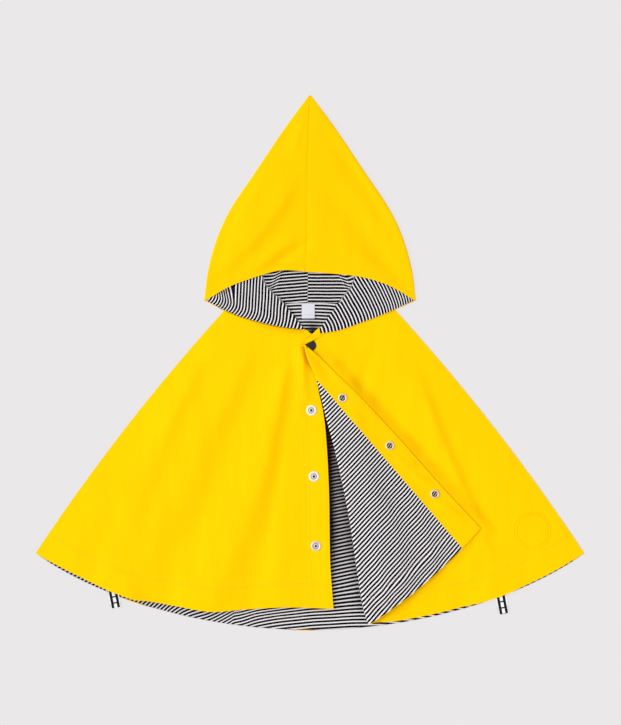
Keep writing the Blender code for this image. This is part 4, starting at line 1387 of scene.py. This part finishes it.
def makeTapeLoops(look):
    pieces = []
    bend, half = loops["bendRadius"], loops["wall"] / 2
    for node, loopX, reach, turn, shift in loops["rows"]:
        turned = Matrix.Rotation(math.radians(turn), 3, "Z")
        run = loops["root"] + reach
        whole = 2 * run + math.pi * bend

        def place(u, v, lift):
            far = v * whole
            if far < run:
                along, rise, tilt = far - loops["root"], 2 * bend, lift
            elif far < whole - run:
                angle = (far - run) / bend
                along = reach + (bend + lift) * math.sin(angle)
                rise, tilt = bend + bend * math.cos(angle), lift * math.cos(angle)
            else:
                along, rise, tilt = whole - far - loops["root"], 0.0, -lift
            drop = backTop * smooth(2.0, 2.0 + loops["drop"], along)
            spot = turned @ Vector((mix(-loops["width"] / 2, loops["width"] / 2, u), -along, 0.0))
            return spot + Vector((loopX, hemY(loopX), backTop - drop + half + rise * 0.8 + tilt))

        turnCells = [run / whole + t * (whole - 2 * run) / whole for t in spaced(0, 1, 6)]
        rows = spaced(0, turnCells[0], 22)[:-1] + turnCells + spaced(turnCells[-1], 1, 22)[1:]
        pieces.append(makeCloth(
            node, place, spaced(0, 1, 6), rows, (-half, half), look,
            lambda u, v: (u * loops["width"], v * whole + shift), lambda u, v: (0.0, 0.0)))
    return pieces


# Snaps

snaps = {
    "sides": 48,
    "stud": (
        (0.0, 0.0), (6.15, 0.0), (6.35, 0.3), (6.2, 0.75), (5.7, 1.05), (4.9, 1.1), (4.0, 1.0),
        (3.7, 0.75), (3.3, 0.65), (2.9, 0.8), (2.6, 1.3), (2.3, 1.7), (1.8, 1.8), (1.5, 1.65),
        (1.35, 1.1), (0.0, 1.0)),
    # Radius bands and the materials they take; the hollow middle and the groove take painted shade
    "studBands": ((-1.0, 1.5, 2), (1.5, 2.85, 3), (2.85, 3.6, 1)),
    "socket": (
        (0.0, 0.0), (5.2, 0.0), (5.4, 0.35), (5.3, 0.9), (4.8, 1.4), (4.2, 1.55), (3.7, 1.35),
        (3.4, 1.0), (3.2, 0.5), (3.0, 0.35), (0.0, 0.35)),
    "socketBands": ((-1.0, 3.5, 2),), "springRadius": 0.34, "springOffset": 1.3, "springHeight": 0.7,
    "recess": 2.9, "springTurn": -35, "studSeat": 6.2, "socketSeat": 5.2, "capSeat": 5.9, "seatGap": 0.05,
    "cap": (
        (0.0, 0.0), (6.1, 0.0), (6.5, 0.2), (6.6, 0.5), (6.2, 0.85), (5.4, 1.1), (4.2, 1.3),
        (2.4, 1.45), (0.0, 1.5)),
}


def makeMetalLook(name, colour, roughness, metallic, specular=0.5):
    material, tree, shader = newMaterial(name, roughness, metallic, specular)
    rub = noiseOf(tree, addNode(tree, "ShaderNodeTexCoord").outputs["Object"], 700.0, 4.0)
    worn = calc(tree, "MULTIPLY_ADD", rub, 0.2, roughness - 0.1)
    tree.links.new(worn, shader.inputs["Roughness"])
    finishLook(tree, shader, blendColours(tree, rub, darkened(colour, 0.72), colour), rub, 0.00002)
    return material


def turnedSnap(node, profile, centre, seat, materials, bands, springs=False):
    bm = bmesh.new()
    verts = [bm.verts.new((radius, 0.0, height)) for radius, height in profile]
    edges = [bm.edges.new(pair) for pair in zip(verts, verts[1:])]
    bmesh.ops.spin(
        bm, geom=verts + edges, axis=(0, 0, 1), cent=(0, 0, 0), angle=math.tau,
        steps=snaps["sides"], use_merge=True)
    bmesh.ops.remove_doubles(bm, verts=bm.verts, dist=0.01)
    bmesh.ops.recalc_face_normals(bm, faces=bm.faces)
    for face in bm.faces:
        middle = face.calc_center_median()
        for low, high, index in bands:
            if low < math.hypot(middle.x, middle.y) < high and middle.z > 0.1:
                face.material_index = index
    if springs:
        reach = math.sqrt(snaps["recess"] ** 2 - snaps["springOffset"] ** 2)
        for side in (-1, 1):
            lie = Matrix.Translation((side * snaps["springOffset"], 0.0, snaps["springHeight"]))
            bmesh.ops.create_cone(
                bm, cap_ends=True, segments=10, radius1=snaps["springRadius"],
                radius2=snaps["springRadius"], depth=2 * reach,
                matrix=lie @ Matrix.Rotation(math.radians(90), 4, "X"))
        turn = Matrix.Rotation(math.radians(snaps["springTurn"]), 3, "Z")
        bmesh.ops.rotate(bm, verts=bm.verts, matrix=turn)
    bmesh.ops.translate(bm, vec=(centre[0], centre[1], seat), verts=bm.verts)
    finishMesh(camelCase(node), bm, materials, 50.0, node)


def seatOf(centre, reach, top):
    around = [(0.0, 0.0)] + [
        (reach * math.cos(math.tau * k / 12), reach * math.sin(math.tau * k / 12)) for k in range(12)]
    return max(top(centre[0] + dx, centre[1] + dy) for dx, dy in around) + snaps["seatGap"]


def makeSnaps():
    white = makeMetalLook("snapEnamelWhite", (0.96, 0.93, 0.80, 1.0), 0.4, 0.1)
    silver = makeMetalLook("snapNickel", (0.90, 0.76, 0.61, 1.0), 0.35, 0.5)
    # Painted shade: the groove round each stud's post is grey, and the hollow middle of each snap is near
    # black
    grey = makeMetalLook("snapGrooveShade", (0.30, 0.27, 0.28, 1.0), 0.5, 0.3)
    pale = makeMetalLook("snapPost", (0.78, 0.72, 0.76, 1.0), 0.45, 0.2)
    dark = makeMetalLook("snapRecessShade", (0.02, 0.012, 0.008, 1.0), 0.5, 0.2)
    charcoal = makeMetalLook("snapEnamel", (0.022, 0.017, 0.018, 1.0), 0.5, 0.0, 0.3)
    flapSpots = [
        placeRight(2.0 + u / 40, v / 100, liningTop)
        for u in range(41) for v in range(101)]

    def leftTop(x, y):
        return leftHeight(x, y) + cloth["shell"]

    def rightTop(x, y):
        return rightHeight(x, y) + cloth["shell"]

    def flapTop(x, y):
        near = sorted(flapSpots, key=lambda spot: (spot.x - x) ** 2 + (spot.y - y) ** 2)[:4]
        return max(spot.z for spot in near)

    for node, x, y in leftFront["snaps"]:
        flange = silver if node == "snap_stud_3" else white
        turnedSnap(
            node, snaps["stud"], (x, y), seatOf((x, y), snaps["studSeat"], leftTop),
            [flange, grey, dark, pale], snaps["studBands"])
    for node, x, y in rightFront["snaps"]:
        turnedSnap(
            node, snaps["socket"], (x, y), seatOf((x, y), snaps["socketSeat"], flapTop),
            [silver, grey, dark], snaps["socketBands"], springs=True)
    turnedSnap(
        "snap_cap_neck", snaps["cap"], neck["cap"], seatOf(neck["cap"], snaps["capSeat"], rightTop),
        [charcoal], ())


# Plain rings raised on the right front, near its corner

rings = {
    "centre": (266.4, -201.7), "radii": (22.0, 18.9), "halfWidth": 0.7, "height": 0.6, "sunk": 0.12,
    "steps": 120,
}


def makeRings(look):
    bm = bmesh.new()
    surface = bm.loops.layers.uv.new("cloth")
    for radius in rings["radii"]:
        arc = [
            (radius + rings["halfWidth"] * math.cos(math.pi * k / 4), 0.0,
             rings["height"] * math.sin(math.pi * k / 4)) for k in range(5)]
        verts = [bm.verts.new(spot) for spot in arc]
        edges = [bm.edges.new(pair) for pair in zip(verts, verts[1:] + verts[:1])]
        bmesh.ops.spin(
            bm, geom=verts + edges, axis=(0, 0, 1), cent=(0, 0, 0), angle=math.tau,
            steps=rings["steps"], use_merge=True)
    bmesh.ops.remove_doubles(bm, verts=bm.verts, dist=0.001)
    for vert in bm.verts:
        x, y = vert.co.x + rings["centre"][0], vert.co.y + rings["centre"][1]
        vert.co = Vector((x, y, vert.co.z + rightHeight(x, y) + cloth["shell"] - rings["sunk"]))
    for face in bm.faces:
        for loop in face.loops:
            loop[surface].uv = loop.vert.co.xy * mm
    bmesh.ops.recalc_face_normals(bm, faces=bm.faces)
    finishMesh("embossedRings", bm, [look], 70.0)


# Topstitching: every stitch is a small rounded bar on the cloth

stitching = {
    "pitch": 3.1, "length": 2.5, "width": 0.34, "height": 0.16, "over": 0.06, "overLining": 0.05,
}


def addStitches(bm, track):
    # track is a list of points on the cloth; stitches follow it at an even pitch
    reach = 0.0
    goal = stitching["pitch"] / 2
    for start, end in zip(track, track[1:]):
        step = (end - start).length
        while step > 1e-6 and reach + step >= goal:
            spot = start.lerp(end, (goal - reach) / step)
            turn = (end - start).to_track_quat("X", "Z").to_matrix().to_4x4()
            size = Matrix.Diagonal((
                stitching["length"] / 2, stitching["width"] / 2, stitching["height"] / 2, 1.0))
            bmesh.ops.create_uvsphere(
                bm, u_segments=6, v_segments=4, radius=1.0, matrix=Matrix.Translation(spot) @ turn @ size)
            goal += stitching["pitch"]
        reach += step


def makeStitches(name, tracks, material):
    bm = bmesh.new()
    for track in tracks:
        addStitches(bm, track)
    finishMesh(name, bm, [material], 0.0)


def alongEdge(columns, far, where, share, place, lift):
    # Row at an even distance from the edge at v = 1, near which a column is nearly straight
    row = []
    for c in columns:
        length = (where(c, 1.0) - where(c, 1.0 - share)).length / share
        row.append(place(c, 1.0 - far / length, lift))
    return row


def stitchTracks(placeFacing, placeLining, hoodPlaces):
    over, overLining = stitching["over"], stitching["overLining"]
    top = cloth["shell"] + over
    yellow, fine = [], []

    def leftRow(v):
        return (leftSpot(2.0, v) - leftSpot(1.0, v)).length

    for far in leftFront["openingLines"]:
        yellow.append([placeLeft(2.0 - far / leftRow(v), v, top) for v in spaced(0.08, 0.995, 90)])
    leftColumns = spaced(0.4, 2.0 - 2.2 / leftRow(1.0), 110)
    for far in leftFront["hemLines"]:
        yellow.append(alongEdge(leftColumns, far, leftSpot, 0.4, placeLeft, top))
    rightColumns = spaced(-0.6, 0.98, 110)
    for far in rightFront["hemLines"]:
        yellow.append(alongEdge(rightColumns, far, rightFlat, 0.4, placeRight, -halfShell - over))
        v = 1.0 - far / 330.0
        fine.append([placeLining(c, v, liningTop + overLining) for c in spaced(2.05, 2.98, 50)])
    for share in (0.03, 0.93):
        yellow.append([placeFacing(share, v, liningTop + over) for v in spaced(0.1, 0.995, 90)])
    for place, level in hoodPlaces:
        columns = spaced(0.01, 0.97, 60)
        yellow.append(alongEdge(columns, hood["foreheadLine"], level, 0.2, place, halfShell + over))
    hemTop = cloth["shell"] + cloth["gap"] + cloth["lining"] + overLining
    fine.append([Vector((x, hemY(x) + back["hemLine"], hemTop)) for x in spaced(-130.0, 62.0, 90)])
    return yellow, fine


# Build everything

shellFront = makeShellLook(
    "coatedCottonFront", leftFront["hemLines"], leftFront["openingLines"], shaded=True)
shellRight = makeShellLook("coatedCottonRight", rightFront["hemLines"], shaded=True)
# The facing and the hood take a darker copy of the yellow: painted shade
shellFacing = makeShellLook("coatedCottonFacing", (), rightFront["facingLines"], ridge=True, shadeTone=0.965)
shellHood = makeShellLook("coatedCottonHood", (hood["foreheadLine"],), shadeTone=0.965)
shellPlain = makeShellLook("coatedCottonPlain")
jerseyHood = makeLiningLook("stripedJerseyHood", -2.2, shaded=True)
jerseyFlap = makeLiningLook("stripedJerseyFlap", -1.1, rightFront["hemLines"])
jerseyBack = makeLiningLook("stripedJerseyBack", -1.5, (back["hemLine"],), shaded=True)
print("materials ready")

backPanel, backLining = makeBack(shellPlain, jerseyBack)
print("back ready")
frontLeft = makeLeftFront(shellFront)
print("left front ready")
frontRight, flapLining, facing, placeFacing, placeFlapLining = makeRightFront(
    shellRight, jerseyFlap, shellFacing)
print("right front ready")
hoodPieces, hoodPlaces = [], []
for side, word in ((-1, "left"), (1, "right")):
    shellHalf, liningHalf, place, level = makeHood(side, word, shellHood, jerseyHood)
    hoodPieces.append((shellHalf, liningHalf))
    hoodPlaces.append((place, level))
print("hood ready")
makeBindings(shellPlain)
neckLabel = makeLabel()
tapeLoops = makeTapeLoops(makeTapeLook())
makeSnaps()
makeRings(shellPlain)
print("trims ready")
yellowTracks, fineTracks = stitchTracks(placeFacing, placeFlapLining, hoodPlaces)
yellowThread = makeThreadLook("yellowThread", (1.0, 0.60, 0.005, 1.0))
paleThread = makeThreadLook("paleThread", (0.72, 0.50, 0.36, 1.0))
makeStitches("shellStitches", yellowTracks, yellowThread)
makeStitches("liningStitches", fineTracks, paleThread)
print("stitches ready")

# The hood's halves are passed over here; the loop does nothing
for shellHalf, liningHalf in hoodPieces:
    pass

# Floor, light and camera

studio = {
    "floor": (0.716, 0.702, 0.709, 1.0), "floorReach": 3000.0, "floorDrop": 0.05, "glow": 0.85,
    "level": 1.149, "world": 0.72, "sunStrength": 2.03, "sunAngle": 56.0,
    "sunFrom": (-1.0, 0.12, 0.92), "pixel": 1.2, "frameHeight": 725, "centre": (0.6, -0.24),
    "lens": 100.0, "sensor": 36.0, "clothLevel": 4.0,
}


def makeStudio():
    bm = bmesh.new()
    bmesh.ops.create_grid(bm, x_segments=1, y_segments=1, size=studio["floorReach"])
    bmesh.ops.translate(bm, vec=(0.0, 0.0, -studio["floorDrop"]), verts=bm.verts)
    material, _, shader = newMaterial("paleFloor", 0.9, 0.0, 0.0)
    shader.inputs["Base Color"].default_value = darkened(studio["floor"], 1.0 - studio["glow"])
    shader.inputs["Emission Color"].default_value = studio["floor"]
    shader.inputs["Emission Strength"].default_value = studio["glow"] * studio["level"]
    addMesh("floor", bm, [material])

    world = bpy.data.worlds.new("studio")
    world.use_nodes = True
    world.node_tree.nodes["Background"].inputs["Color"].default_value = (1.0, 1.0, 1.0, 1.0)
    world.node_tree.nodes["Background"].inputs["Strength"].default_value = studio["world"]
    bpy.context.scene.world = world

    light = bpy.data.lights.new("softKey", "SUN")
    light.energy = studio["sunStrength"]
    light.angle = math.radians(studio["sunAngle"])
    key = addObject("softKey", light)
    key.rotation_euler = Vector(studio["sunFrom"]).to_track_quat("Z", "Y").to_euler()

    lens = bpy.data.cameras.new("overhead")
    lens.lens = studio["lens"]
    lens.sensor_width = studio["sensor"]
    camera = addObject("overhead", lens)
    distance = studio["frameHeight"] * studio["pixel"] * studio["lens"] / studio["sensor"]
    camera.location = (
        studio["centre"][0] * mm, studio["centre"][1] * mm, (distance + studio["clothLevel"]) * mm)
    bpy.context.scene.camera = camera
    bpy.context.scene.view_settings.view_transform = "Standard"


makeStudio()
print("studio ready")
